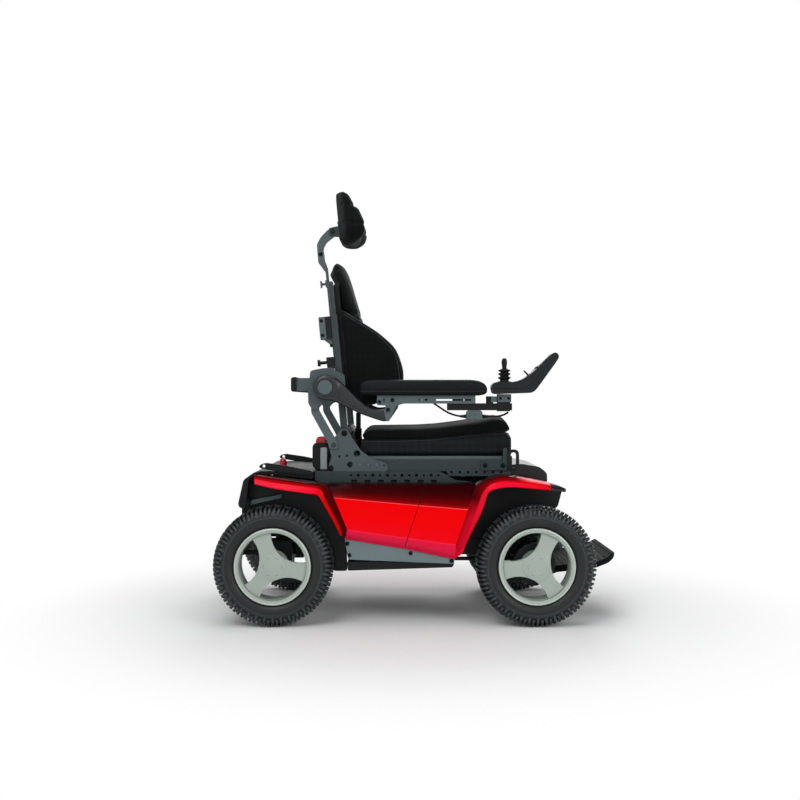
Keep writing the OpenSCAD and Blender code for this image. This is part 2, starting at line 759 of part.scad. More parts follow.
module seat_cushion_base() color("#4a4f50") {
    sx = px + 48;
    L = seat_front - 1 - sx;
    st = [
        [0, 0.97, 0, 4], [0.01, 0.99, 0, 6], [0.1, 1, 0, 8], [0.4, 1, 1, 8], [0.66, 1, 10, 8],
        [0.86, 1, 19, 8], [0.985, 0.99, 21, 6], [1, 0.97, 20, 4]
    ];
    loft([
        for (s = st)
            seat_ring(sx + s[0] * L, (seat_half_w + 3) * s[1], pan_z + seam, pan_z + 48 + s[2], 0, s[3])
    ]);
}

// Back, drawn in the back frame

module back_canes() color("#6c7375") pair() back_frame() {
    difference() {
        union() {
            box(-cane_w / 2, cane_w / 2, cane_y0, cane_y1, 0, bar_z1 + 2);
            box(-cane_w / 3, cane_w / 3, cane_y0, cane_y1, bar_z1 + 1, cane_len);
            ycyl(0, 0, boss_r, cane_y0, cane_y1);
            ycyl(0, link_len, boss_r, cane_y0, cane_y1);
        }
        ycyl(0, 0, pin_r + fit, cane_y0 - 1, cane_y1 + 1);
        ycyl(0, link_len, pin_r + fit, cane_y0 - 1, cane_y1 + 1);
    }
}

shell_x = cane_w / 2 + 0.5;

module back_shell() color("#222527") back_frame() {
    edge = seat_half - 38;
    z0 = back_bottom + 14;
    shell_top = back_bottom + 0.83 * (back_top - back_bottom);
    difference() {
        union() {
            box(shell_x, shell_x + 4, -edge, edge, back_bottom + 8, shell_top);
            pair() box(shell_x, shell_x + 4, edge - 1, back_half, z0, back_bottom + 150);
        }
        for (i = [0:3])
            translate([0, 0, 150 + i * 100])
            rotate([0, 90, 0])
            cylinder(r = 26, h = 60);
        pair() ycyl(0, link_len, boss_r + seam, cane_y0 - 1, cane_y1 + 1);
    }
}

// Sections up the back: front face crowned, back face flat
function back_ring(z, hw, x0, x1, e, crown) = [
    for (p = lobe(1, hw, e, 28))
        let (f = p[1] / hw)
        [(x0 + x1) / 2 + p[0] * (x1 - x0) / 2 + (p[0] > 0 ? p[0] * crown * (1 - f * f) : 0), p[1], z]
];

module back_cushion() color("#1b1c1e") back_frame() {
    H = back_top - back_bottom;
    b = shell_x + 4.4;
    st = [
        [0, 0.63, 4, 30, 3], [0.015, 0.682, 0, 52, 4], [0.06, 0.703, 0, 64, 6], [0.2, 0.703, 0, 72, 7],
        [0.35, 0.703, 0, 68, 7], [0.5, 0.703, 0, 58, 7], [0.62, 0.725, 0, 51, 7], [0.7, 0.79, 0, 43, 6],
        [0.76, 0.805, 0, 37, 6], [0.84, 0.787, 0, 30, 5], [0.88, 0.757, -14, 26, 5],
        [0.92, 0.719, -22, 21, 4], [0.97, 0.6, -20, 13, 4], [1, 0.428, -9, 5, 3]
    ];
    loft([
        for (s = st)
            let (crown = s[0] == 0 || s[0] == 1 ? 0 : 7)
            back_ring(back_bottom + s[0] * H, back_half * s[1], b + s[2], b + s[3], s[4], crown)
    ]);
}

// Side wings: sections from the inner face out, each a rounded copy of the wing outline
module back_wings() color("#202123") pair() back_frame() {
    b = shell_x + 4.4;
    o = [
        [b, 66], [b + 160, 84], [b + 178, 118], [b + 181, 150], [b + 179, 190], [b + 173, 228],
        [b + 160, 254], [b + 116, 302], [b + 68, 338], [b, 388]
    ];
    p = soft(o, 20, 2);
    c = [b + 76, 210];
    st = [[0, 0.9], [0.1, 0.975], [0.3, 1], [0.7, 1], [0.9, 0.985], [1, 0.93]];
    y0 = 0.748 * back_half;
    y1 = back_half;
    loft([
        for (s = st)
            [for (q = p) let (v = c + (q - c) * s[1]) [max(v[0], b), y0 + (y1 - y0) * s[0], v[1]]]
    ]);
}

module back_crossbars() color("#2a2d2f") back_frame() {
    difference() {
        union() {
            box(-46, -cane_w / 2, -(seat_half - 38), seat_half - 38, bar_z0 + 8, bar_z1 - 8);
            pair() box(-46, -cane_w / 2, seat_half - 38, seat_half - 2, bar_z0, bar_z1);
        }
        box(-26, -16, -15.4, 15.4, bar_z0 - 1, bar_z1 + 1);
    }
    pair() {
        box(-34, -cane_w / 2, cane_y0 - 8, cane_y1, knob_z - 15, knob_z + 15);
        xcyl(cane_y0 + 6, knob_z, 5, -54, -34);
        xcyl(cane_y0 + 6, knob_z, 10, -62, -54);
    }
    ycyl(-25, knob_z, 9, -(cane_y0 - 7), cane_y0 - 7);
}

// Headrest bar with its thumb screw, bent link and winged pad
hp_x = -35;
hp_z = back_top + head_rise;
hq_x = hp_x + 45;
hq_z = hp_z + 70;

module headrest_bar() color("#3b4042") back_frame() {
    box(-25, -17, -15, 15, 246, hp_z - 52);
    difference() {
        slab([
            [-25, hp_z - 60], [-17, hp_z - 60], [-17, hp_z - 46], [hp_x + 10.5, hp_z - 18],
            [hp_x + 10.5, hp_z + 12],
            [hp_x - 10.5, hp_z + 12], [hp_x - 10.5, hp_z - 26]
        ], -15, 15);
        box(hp_x - 20, hp_x + 20, -9.5, 9.5, hp_z - 20, hp_z + 20);
        ycyl(hp_x, hp_z, 5 + fit, -20, 20);
    }
    box(-29, -25, -12, 12, 470, 492);
    xcyl(0, 481, 4, -40, -29);
    slab([[-46, 468], [-40, 472], [-40, 490], [-46, 494]], -5, 5);
}

module headrest_link() color("#2f3335") back_frame() {
    difference() {
        slab(soft([
            [hp_x - 10.5, hp_z - 8], [hp_x - 10.5, hp_z + 34], [hp_x + 5, hp_z + 57], [hq_x - 14, hq_z + 9],
            [hq_x + 8, hq_z + 10], [hq_x + 10, hq_z - 11], [hp_x + 23, hp_z + 39], [hp_x + 10.5, hp_z + 21],
            [hp_x + 10.5, hp_z - 8]
        ], 7), -9, 9);
        ycyl(hq_x, hq_z, 5 + fit, -20, 20);
        ycyl(hp_x, hp_z, 5, -20, 20);
    }
    ycyl(hp_x, hp_z, 5, -14.5, 14.5);
}

module headrest_pad() color("#1a1b1d") back_frame() {
    // clevis plate behind the pad, pinned through the link
    pair() difference() {
        slab(soft([
            [hq_x - 12, hq_z - 12], [hq_x - 12, hq_z + 12], [hq_x + 19, hq_z + 16], [hq_x + 19, hq_z - 16]
        ], 5), 9 + gap, 14);
        ycyl(hq_x, hq_z, 5, 0, 20);
    }
    ycyl(hq_x, hq_z, 5, -16, 16);
    box(hq_x + 19, hq_x + 23, -40, 40, hq_z - 26, hq_z + 26);
    // pad lofted across its width: middle lobe, then wings that sweep forward
    x = hq_x + 23.3;
    h = head_w / 2;
    st = [
        [-1, 33, -10, 60, 0.5], [-0.94, 27, -24, 92, 0.66], [-0.8, 20, -45, 112, 0.745],
        [-0.6, 12, -54, 118, 0.775], [-0.4, 4, -57, 122, 0.8], [-0.33, 0, -57, 123, 0.8],
        [0, 0, -57, 124, 0.8]
    ];
    full = concat(st, [for (i = [len(st) - 2:-1:0]) [-st[i][0], st[i][1], st[i][2], st[i][3], st[i][4]]]);
    loft([for (s = full) head_ring(-s[0] * h, x + s[1], hq_z + s[2], hq_z + s[3], s[4])]);
}

// Closed section of the headrest at one width: flat back, neck roll below, two softer lobes above
function head_ring(y, x, z0, z1, k) = [
    for (q = [
        [4, 0.09], [19, 0.04], [49, 0], [71, 0.04], [82, 0.09], [90.7, 0.21], [88, 0.32], [80, 0.405],
        [74, 0.475], [65.8, 0.6], [48, 0.686], [39, 0.795], [31, 0.935], [13, 1], [0, 0.995], [0, 0.9],
        [0, 0.7], [0, 0.5], [0, 0.3], [0, 0.15]
    ])
        [x + q[0] * k, y, z0 + q[1] * (z1 - z0)]
];

// Recline links and the armrest carriers that they hold level

module recline_links() color("#4f5658") pair() {
    kx = bpx - 62;
    kz = bpz + 112;
    difference() {
        slab(soft([
            [bpx - 14, bpz - 12], [bpx + 14, bpz - 12], [bpx + 12, bpz + 8], [kx + 16, kz - 2],
            [dpx + 13, dpz - 10], [dpx + 13, dpz + 13], [dpx - 13, dpz + 13], [kx - 6, kz + 14],
            [kx - 6, kz - 14], [bpx - 16, bpz + 4]
        ], 8), link_y0, link_y1);
        ycyl(bpx, bpz, pin_r + fit, link_y0 - 1, link_y1 + 1);
        ycyl(dpx, dpz, pin_r + fit, link_y0 - 1, link_y1 + 1);
    }
}

module arm_carriers() color("#2d3133") {
    pair() {
        slab(soft([
            [hub_x - 53, hub_z - 49], [hub_x - 54, hub_z - 13], [hub_x - 47, hub_z + 51],
            [hub_x - 12, hub_z + 58], [hub_x + 24, hub_z + 60], [hub_x + 30, hub_z + 50],
            [cpx + 17, cpz + 8], [cpx + 20, cpz - 30], [hub_x + 11, hub_z - 40], [hub_x - 17, hub_z - 51],
            [hub_x - 23, hub_z - 67], [hub_x - 40, hub_z - 67]
        ], 8), carry_y0, carry_y1);
        ycyl(dpx, dpz, pin_r, link_y0 - 0.2, carry_y0 + 1);
        ycyl(cpx, cpz, pin_r, cane_y0 - 2, carry_y0 + 1);
        ycyl(hub_x, hub_z, 14, carry_y1 - 1, arm_y1 + 2);
        box(hub_x - 89, hub_x - 40, carry_y0, carry_y1, hub_z - 10, hub_z + 29);
    }
    // push bar across the back, with a soft grip
    slab(soft([
        [hub_x - 104, hub_z - 12], [hub_x - 104, hub_z + 31], [hub_x - 89, hub_z + 31],
        [hub_x - 89, hub_z - 12]
    ], 6), -(carry_y1 + 8), carry_y1 + 8);
}

// Armrests: a curved arm from the hub, a bracket and a pad

module arm() {
    difference() {
        union() {
            ycyl(hub_x, hub_z, hub_r, arm_y0, arm_y1);
            slab(soft([
                [hub_x + 2, hub_z + 36], [hub_x + 30, hub_z + 32], [hub_x + 62, hub_z + 2],
                [hub_x + 92, hub_z - 27], [hub_x + 122, hub_z - 53], [hub_x + 150, hub_z - 64],
                [hub_x + 190, hub_z - 58], [hub_x + 224, hub_z - 50], [hub_x + 190, hub_z - 100],
                [hub_x + 180, hub_z - 102], [hub_x + 168, hub_z - 101], [hub_x + 107, hub_z - 80],
                [hub_x + 60, hub_z - 58], [hub_x + 33, hub_z - 44], [hub_x - 10, hub_z - 36]
            ], 10), arm_y0 + 3, arm_y1 - 4);
        }
        ycyl(hub_x, hub_z, 14 + fit, arm_y0 - 1, arm_y1 + 3);
    }
}

module hub_cap() {
    translate([hub_x, arm_y1 + 2.5, hub_z])
    rotate([-90, 0, 0])
    rotate_extrude()
    polygon([[0, 0], [22, 0], [22, 2], [19, 5], [0, 6]]);
}

module arm_bracket() {
    x0 = pad_x0 + 51;
    x1 = x0 + 293;
    z0 = pad_z0 - 25;
    difference() {
        union() {
            slab(soft([
                [x0, z0 - 5], [x0, z0 + 20], [x1, z0 + 20], [x1, z0], [x0 + 80, z0], [x0 + 57, z0 - 7],
                [x0 + 37, z0 - 52], [x0 + 27, z0 - 53], [x0 + 21, z0 - 20], [x0 + 27, z0 - 6]
            ], 4), arm_y1 - 4 + seam, arm_y1 + 1);
            box(x0, x1, arm_half - 22, arm_y1, z0 + 20, z0 + 24.5);
        }
        for (x = [x0 + 128, x0 + 146])
            ycyl(x, z0 + 11, 4, arm_y1 - 6, arm_y1 + 2);
        box(x0 + 19, x0 + 23, arm_y1 - 6, arm_y1 + 2, z0 + 5, z0 + 16);
        box(x0 + 176, x0 + 280, arm_y1 - 6, arm_y1 + 2, z0 + 8, z0 + 14);
    }
    for (p = [[8, 5, 5], [33, -18, 6], [46, 11, 6]])
        ycyl(x0 + p[0], z0 + p[1], p[2], arm_y1 + 1, arm_y1 + 4);
}

function pad_ring(x, hw, z0, z1, e) = [
    for (p = lobe(hw, 1, e, 20))
        [x, arm_half + p[0] * (p[1] > 0 ? 1 : 0.97), (z0 + z1) / 2 + p[1] * (z1 - z0) / 2]
];

module arm_pad() {
    st = [
        [0, 0.7, 6, -14, 3], [0.012, 0.88, 1, -6, 4], [0.04, 0.97, 0, -1, 5], [0.1, 1, 0, 0, 5],
        [0.5, 1, 0, 1, 5], [0.86, 1, 0, 0, 5], [0.93, 0.98, 0, -2, 5], [0.97, 0.92, 1, -8, 4],
        [0.99, 0.82, 4, -16, 4], [1, 0.66, 8, -24, 3]
    ];
    z0 = pad_z0 + 0.1;
    z1 = pad_z0 + pad_t;
    loft([for (s = st) pad_ring(pad_x0 + s[0] * pad_len, pad_w / 2 * s[1], z0 + s[2], z1 + s[3], s[4])]);
}

module left_arm() color("#2b2f31") { arm(); hub_cap(); }
module right_arm() color("#2b2f31") right() { arm(); hub_cap(); }
module left_arm_bracket() color("#7c8586") arm_bracket();
module right_arm_bracket() color("#7c8586") right() arm_bracket();
module left_arm_pad() color("#191a1b") arm_pad();
module right_arm_pad() color("#191a1b") right() arm_pad();

// Joystick on its rail under the right arm pad

module joystick_rail() color("#1d1f21") right() {
    z1 = pad_z0 - 24;
    y0 = arm_half - 12;
    y1 = arm_y1 - 4;
    box(pad_x0 + 260, pod_x + 20, y0, y1, z1 - 21, z1);
    for (x = [pad_x0 + 276, pad_x0 + 312])
        box(x, x + 24, y0 + 2, y1, z1 - 1, z1 + 19);
    box(pod_x - 23, pod_x + 14, y0 - 4, y1 + 4, z1 - 24, z1 + 3);
    box(pod_x - 23, pod_x + 17, y0 - 6, y1 + 6, z1 + 3, pod_z);
    difference() {
        box(pod_x - 44, pod_x - 23, y0 + 2, y1 - 2, z1 + 3, z1 + 20);
        zcyl(pod_x - 46, arm_half, 8, z1, z1 + 30);
    }
    zcyl(pod_x - 46, arm_half, 11, z1, z1 + 21);
}

// Lead from the pod mount to the in-line connector and on under the bracket
function bend(p, n) = [
    for (i = [0:len(p) - 2]) for (j = [0:n - 1])
        let (a = p[max(i - 1, 0)], b = p[i], c = p[i + 1], d = p[min(i + 2, len(p) - 1)], t = j / n)
        let (quad = 2 * a - 5 * b + 4 * c - d, cube = 3 * b - a - 3 * c + d)
        0.5 * (2 * b + (c - a) * t + quad * t * t + cube * t * t * t)
];

module cable(p, r) {
    q = concat(bend(p, 4), [p[len(p) - 1]]);
    loft([
        for (i = [0:len(q) - 1])
            let (d = q[min(i + 1, len(q) - 1)] - q[max(i - 1, 0)], u = d / norm(d))
            [
                for (k = [0:9])
                    let (c = r * cos(36 * k))
                    [q[i][0] - u[1] * c, arm_half - r * sin(36 * k), q[i][1] + u[0] * c]
            ]
    ]);
}

module joystick_lead() color("#121314") right() {
    z = pad_z0 - 63;
    x = pad_x0 + 317;
    cable([
        [pod_x + 10, z + 12.2], [pod_x + 3, z + 8], [pod_x - 6, z + 3.8], [pod_x - 17, z + 1],
        [pod_x - 28, z], [x + 48, z]
    ], lead_d / 2);
    cable([
        [x, z], [x - 18, z + 0.6], [x - 36, z + 4.3], [x - 54, z + 11.2], [x - 73, z + 22.7],
        [x - 91, z + 35.2], [x - 108, z + 45.7], [x - 125, z + 52.4], [x - 143, z + 54.4], [x - 153, z + 54.4]
    ], lead_d / 2);
    slab(soft([
        [x, z - 9], [x, z + 14], [x + 6, z + 18], [x + 42, z + 18], [x + 48, z + 14], [x + 48, z - 9]
    ], 4), arm_half - 11, arm_half + 11);
}

module joystick_pod() color("#17191b") right() {
    y0 = arm_half - pod_w / 2;
    y1 = arm_half + pod_w / 2;
    difference() {
        slab(soft([
            [pod_x - 34, pod_z], [pod_x + 78, pod_z + 4], [pod_x + 90, pod_z + 14],
            [pod_x + 152, pod_z + 100],
            [pod_x + 158, pod_z + 112], [pod_x + 150, pod_z + 124], [pod_x + 138, pod_z + 122],
            [pod_x + 76, pod_z + 62], [pod_x + 50, pod_z + 44], [pod_x + 24, pod_z + 36],
            [pod_x - 34, pod_z + 36], [pod_x - 42, pod_z + 24], [pod_x - 40, pod_z + 8]
        ], 10), y0, y1);
        zcyl(stick_x, arm_half, 12, pod_z + 8, pod_z + 60);
        ycyl(stick_x, stick_z, 2.5 + fit, arm_half - 16, arm_half + 16);
        translate([pod_x + 70, arm_half, pod_z + 56])
        rotate([0, -44, 0]) {
            box(-6, 6, -14, 14, -16, 10);
            ycyl(0, -2, 2.5 + fit, -18, 18);
        }
    }
    translate([stick_x, arm_half, pod_z + 36])
    rotate_extrude()
    polygon([[12, 0], [boot_r, 0], [boot_r, 2], [14, 3.5], [12, 3.5]]);
}

// Gimbal ring inside the pod: leans fore and aft on side pins, and carries the stick's cross pins
module joystick_gimbal() color("#5a5f61") right() translate([stick_x, arm_half, stick_z]) {
    difference() {
        union() {
            rotate_extrude()
            polygon([[7, -4], [10.5, -4], [10.5, 4], [7, 4]]);
            pair() ycyl(0, 0, 2.5, 9, 15.5);
        }
        xcyl(0, 0, 2 + fit, -20, 20);
    }
}

// Bellows that leans with the stick
module joystick_boot() color("#0f1011") right() {
    translate([stick_x, arm_half, stick_z])
    rotate_extrude()
    polygon([
        [5 + fit, 16.5], [10, 16.5], [12, 18], [boot_r - 0.5, 21.2], [boot_r - 0.5, 22.4], [12, 26.6],
        [boot_r - 0.8, 31.6], [boot_r - 0.8, 32.8], [12, 36.8], [boot_r - 1.2, 41.6], [boot_r - 1.2, 42.8],
        [9, 46], [5 + fit, 46]
    ]);
}

module joystick_stick() color("#131415") right() translate([stick_x, arm_half, stick_z]) {
    rotate_extrude()
    polygon([
        [0, -6], [5, -6], [5, 46.5], [7, 46.5], [7, 50], [7.5, 57], [8.4, 65], [8.2, 72], [6.6, 77],
        [0, 79.7]
    ]);
    xcyl(0, 0, 2, -10.2, 10.2);
}

module pod_toggle() color("#26292b") right() {
    translate([pod_x + 70, arm_half, pod_z + 56])
    rotate([0, -44, 0]) {
        ycyl(0, -2, 4, -13, 13);
        ycyl(0, -2, 2.5, -17, 17);
        slab([[-2, -2], [2, -2], [1.4, 20], [-1.4, 20]], -9, 9);
    }
}

// Centre-mounted foot hanger and two footplates that flip up one by one

module leg_hanger() color("#3a3f42") {
    box(fx + 32, fx + 58, -28, 28, foot_z - 14, wz + 214);
    box(fx + 25, fx + 32.5, -60, 60, rail_z0 + 4, rail_z1 - 4);
    box(fx + 24, fx + 58, -70, 70, wz + 205, wz + 217);
    slab(soft([
        [fx + 44, foot_z - 14], [fx + 44, foot_z + 14], [foot_x + 9, foot_z + 9], [foot_x + 9, foot_z - 9]
    ], 5), -28, 28);
    ycyl(foot_x, foot_z, pin_r, -(foot_w / 2 - 4), foot_w / 2 - 4);
    zcyl(fx + 45, 44, 12, foot_z + 30, wz + 206);
    zcyl(fx + 45, -44, 12, foot_z + 30, wz + 206);
    box(fx + 34, fx + 56, -58, 58, foot_z + 22, foot_z + 34);
}

module footplate() {
    y0 = 34;
    y1 = foot_w / 2;
    tread = soft([
        [foot_x - 4, foot_z - 12], [foot_tip - 62, foot_z + 4], [foot_tip - 22, foot_z + 20],
        [foot_tip, foot_z + 38], [foot_tip - 4, foot_z + 52], [foot_tip - 30, foot_z + 34],
        [foot_tip - 66, foot_z + 20], [foot_x + 4, foot_z + 11]
    ], 6);
    difference() {
        union() {
            intersection() {
                slab(tread, gap, y1);
                linear_extrude(foot_z + 200)
                polygon([
                    [foot_x + 26, gap], [foot_tip + 1, gap], [foot_tip + 1, y1 - 32],
                    [foot_tip - 9, y1 - 10], [foot_tip - 31, y1], [foot_x - 30, y1],
                    [foot_x - 30, y0], [foot_x + 26, y0]
                ]);
            }
            ycyl(foot_x, foot_z, 14, y0, y1);
        }
        ycyl(foot_x, foot_z, pin_r + fit, y0 - 1, y1 + 1);
    }
}

module left_footplate() color("#26292b") footplate();
module right_footplate() color("#26292b") right() footplate();

chassis_frame();
belly_tray();
batteries();
power_controller();
rear_gear_motors();
rear_hood();
nose_cover();
side_panels();
sill_plates();
fenders();
fender_tips();
arch_liners();
base_rails();
rear_tie_downs();
tail_light_posts();
tail_light_lenses();
bolts();
seat_frame();
seat_side_plates();
seat_cushion_base();
seat_cushion();
tie_down_loops();
recline_drive();
back_canes();
back_shell();
back_cushion();
back_wings();
back_crossbars();
headrest_bar();
headrest_link();
headrest_pad();
recline_links();
arm_carriers();
right_arm();
right_arm_bracket();
right_arm_pad();
joystick_rail();
joystick_lead();
joystick_pod();
joystick_gimbal();
joystick_boot();
joystick_stick();
pod_toggle();
left_arm();
left_arm_bracket();
left_arm_pad();
rear_right_tyre();
rear_right_rim();
rear_left_tyre();
rear_left_rim();
front_right_tyre();
front_right_rim();
front_left_tyre();
front_left_rim();
right_knuckle();
left_knuckle();
tie_rod();
leg_hanger();
right_footplate();
left_footplate();
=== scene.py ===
# %% [markdown]
# # All-terrain power wheelchair
# The chair in the photograph is a power base on four lugged tyres with glossy red body panels, and
# a reclining seat in black fabric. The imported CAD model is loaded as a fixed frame, and each piece
# is dressed over it: hard parts get rounded edges and their real finish, soft parts are blown up
# as the cushions they are. The CAD itself is left alone, so that its size and its joints hold.

# %% Frame
import json
import math
import bpy
import bmesh
from mathutils import Matrix, Vector


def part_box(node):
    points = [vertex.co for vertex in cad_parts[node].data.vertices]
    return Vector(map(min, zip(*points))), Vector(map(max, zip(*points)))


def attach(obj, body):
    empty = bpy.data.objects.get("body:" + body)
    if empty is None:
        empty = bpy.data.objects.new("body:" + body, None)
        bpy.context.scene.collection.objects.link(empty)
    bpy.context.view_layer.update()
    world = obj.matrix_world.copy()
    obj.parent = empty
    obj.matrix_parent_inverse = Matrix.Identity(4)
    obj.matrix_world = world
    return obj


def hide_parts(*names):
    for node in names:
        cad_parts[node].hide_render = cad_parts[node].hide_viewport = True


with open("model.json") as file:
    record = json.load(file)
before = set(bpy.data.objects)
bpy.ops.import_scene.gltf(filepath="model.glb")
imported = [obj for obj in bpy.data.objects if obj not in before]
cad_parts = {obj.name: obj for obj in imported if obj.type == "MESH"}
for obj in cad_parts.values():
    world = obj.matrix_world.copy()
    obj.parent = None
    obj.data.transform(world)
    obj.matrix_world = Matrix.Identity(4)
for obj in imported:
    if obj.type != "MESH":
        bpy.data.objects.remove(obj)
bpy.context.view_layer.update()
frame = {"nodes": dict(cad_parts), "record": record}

BODIES = frame["record"]["behaviour"]["bodies"]
BODY = {node: body for body, nodes in BODIES.items() for node in nodes}
FLANKS = ((-1, "right"), (1, "left"))

# %% [markdown]
# ## Camera
# The photograph is a level view of the chair's right side from about 3.4 m. Near and far wheels
# are drawn almost the same size, which is what fixes that distance; the lens then follows from the
# size of the tyres in the picture.

# %% Camera
CAMERA_AT, SENSOR_MM, LENS_MM = (-0.058, -3.4, 0.667), 36, 47.115

camera = bpy.data.objects.new("camera", bpy.data.cameras.new("camera"))
bpy.context.collection.objects.link(camera)
camera.location = CAMERA_AT
camera.rotation_euler = (math.pi / 2, 0, 0)
camera.data.sensor_width, camera.data.lens = SENSOR_MM, LENS_MM
bpy.context.scene.camera = camera
print("camera:", LENS_MM, "mm lens at", CAMERA_AT)


# %% [markdown]
# ## Colours and nodes
# Colours are written as the sRGB hex values that are read off a photograph, and one function turns
# them into the linear numbers that a shader needs. One more function adds a node with its settings
# and inputs, so that a material below reads as a short list of what feeds what.

# %% Colour and node helpers
def colour(code):
    """An sRGB hex code as linear red, green, blue and alpha."""
    parts = [int(code[i:i + 2], 16) / 255 for i in (1, 3, 5)]
    linear = [p / 12.92 if p <= 0.04045 else ((p + 0.055) / 1.055) ** 2.4 for p in parts]
    return (*linear, 1.0)


def add(tree, kind, inputs=None, **settings):
    """A shader node with its settings; an input is a value or another node's output."""
    node = tree.nodes.new("ShaderNode" + kind)
    for key, value in settings.items():
        setattr(node, key, value)
    for key, value in (inputs or {}).items():
        if isinstance(value, bpy.types.NodeSocket):
            tree.links.new(value, node.inputs[key])
        else:
            node.inputs[key].default_value = value
    return node


def mixed(tree, factor, first, second):
    """The output that blends two colours by a factor."""
    inputs = {0: factor, 6: first, 7: second}
    return add(tree, "Mix", inputs, data_type="RGBA").outputs[2]


def material(name, **sockets):
    """A new material with its shader's fixed values set on the shader itself."""
    made = bpy.data.materials.new(name)
    made.use_nodes = True
    tree = made.node_tree
    shader = tree.nodes["Principled BSDF"]
    for key, value in sockets.items():
        shader.inputs[key.replace("_", " ")].default_value = value
    place = add(tree, "TexCoord").outputs["Object"]
    return made, tree, shader, place


print("grey #808080 is", round(colour("#808080")[0], 3), "in linear light")

# %% [markdown]
# ## Floor
# The photograph is cut out on white. The floor is a pale matt sheet that holds the chair's shadow
# and runs out to plain white some way from it. A glow that only the camera sees does that, because
# it leaves the light that the floor sends back up to the chair as it is.

# %% Floor
FLOOR_HALF, FADE_FROM, FADE_TO = 14, 0.6, 1.35
WHITE = colour("#ffffff")

floor_mesh = bpy.data.meshes.new("floor")
corners = [(x * FLOOR_HALF, y * FLOOR_HALF, 0) for x, y in ((-1, -1), (1, -1), (1, 1), (-1, 1))]
floor_mesh.from_pydata(corners, [], [(0, 1, 2, 3)])
floor = bpy.data.objects.new("floor", floor_mesh)
bpy.context.collection.objects.link(floor)
paper, tree, shader, place = material("matt_white_floor_paper", Roughness=0.95,
                                      Specular_IOR_Level=0.1)
grain = add(tree, "TexNoise", {"Vector": place, "Scale": 60.0, "Detail": 3.0})
tint = mixed(tree, grain.outputs["Fac"], colour("#f7f7f7"), colour("#fdfdfd"))
tree.links.new(tint, shader.inputs["Base Color"])
reach = add(tree, "VectorMath", {0: place}, operation="LENGTH").outputs["Value"]
fade = {"Value": reach, "From Min": FADE_FROM, "From Max": FADE_TO}
faded = add(tree, "MapRange", fade, interpolation_type="SMOOTHSTEP").outputs["Result"]
seen = add(tree, "LightPath").outputs["Is Camera Ray"]
share = add(tree, "Math", {0: faded, 1: seen}, operation="MULTIPLY").outputs[0]
glow = add(tree, "Emission", {"Color": WHITE, "Strength": 1.0}).outputs[0]
blend = add(tree, "MixShader", {0: share, 1: shader.outputs[0], 2: glow})
tree.links.new(blend.outputs[0], tree.nodes["Material Output"].inputs["Surface"])
floor_mesh.materials.append(paper)
print("floor: white from", FADE_TO, "m on")

# %% [markdown]
# ## Room and lamps
# The room is a white sweep that darkens only overhead, so that glossy paint facing the ceiling
# reflects dark and paint facing the floor reflects light, as on the real panels. The camera itself
# sees plain white. Four large soft boxes keep the light level, so that a colour renders about as
# it is written.

# %% Room
CEILING = colour("#959799")
SWEEP_Z, CEILING_Z = 0.20, 0.60

world = bpy.data.worlds.new("studio")
bpy.context.scene.world = world
world.use_nodes = True
tree = world.node_tree
tree.nodes.clear()
ray = add(tree, "TexCoord").outputs["Generated"]
height = add(tree, "SeparateXYZ", {"Vector": ray}).outputs["Z"]
ramp = add(tree, "ValToRGB", {"Fac": height})
for stop, z, grey in zip(ramp.color_ramp.elements, (SWEEP_Z, CEILING_Z), (WHITE, CEILING)):
    stop.position, stop.color = z, grey
path = add(tree, "LightPath")
mirrored = path.outputs["Is Camera Ray"]
for kind in ("Is Glossy Ray", "Is Transmission Ray"):
    mirrored = add(tree, "Math", {0: mirrored, 1: path.outputs[kind]},
                   operation="MAXIMUM").outputs[0]
level = add(tree, "MapRange", {"Value": mirrored, "To Min": 0.75, "To Max": 1.0})
shine = add(tree, "Background", {"Color": ramp.outputs["Color"],
                                           "Strength": level.outputs["Result"]}).outputs[0]
clear = add(tree, "Background", {"Color": WHITE, "Strength": 1.0}).outputs[0]
sight = add(tree, "MixShader",
            {"Fac": path.outputs["Is Camera Ray"], 1: shine, 2: clear}).outputs[0]
add(tree, "OutputWorld", {"Surface": sight})
bpy.context.scene.view_settings.view_transform = "Standard"
print("room: a white sweep with a grey ceiling")

# %% Lamps
# where each soft box stands, the height it looks at, its size in metres and its power in watts
LAMPS = {
    "key_soft_box": ((-1.2, -2.6, 2.8), 0.5, 1.8, 40),
    "fill_soft_box": ((1.9, -2.4, 1.5), 0.5, 1.6, 20),
    "top_soft_box": ((0, -0.3, 3.2), 0.5, 2.2, 22),
    "back_soft_box": ((0.4, 2.6, 2.4), 0.6, 1.8, 40),
}
for name, (spot, aim_z, size, watts) in LAMPS.items():
    light = bpy.data.lights.new(name, "AREA")
    light.shape, light.size, light.energy = "SQUARE", size, watts
    box = bpy.data.objects.new(name, light)
    bpy.context.collection.objects.link(box)
    box.location = spot
    box.rotation_euler = (Vector((0, 0, aim_z)) - Vector(spot)).to_track_quat("-Z", "Y").to_euler()
print("lamps:", len(LAMPS))


# %% [markdown]
# ## Finishes
# Most hard surfaces share one recipe: a base colour that drifts a little over some centimetres, as
# sprayed and moulded surfaces do, a roughness that drifts with it, and a fine relief. What changes
# is the size of the relief: a powder coat's orange peel is about 2 mm across, a moulded grain
# about 1 mm. A pixel of the picture covers 3 mm of the chair, so such reliefs are drawn 2 to 3
# times coarser to be seen at all. A mesh may carry painted light on its points: its red, green and
# blue parts each blend in one more colour. This gives the painted shade, painted reflection and
# painted highlight on the red panels, and the painted highlight on the tyres' lugs.

# %% Recipe for hard surfaces
DRIFT_SCALE = 14.0


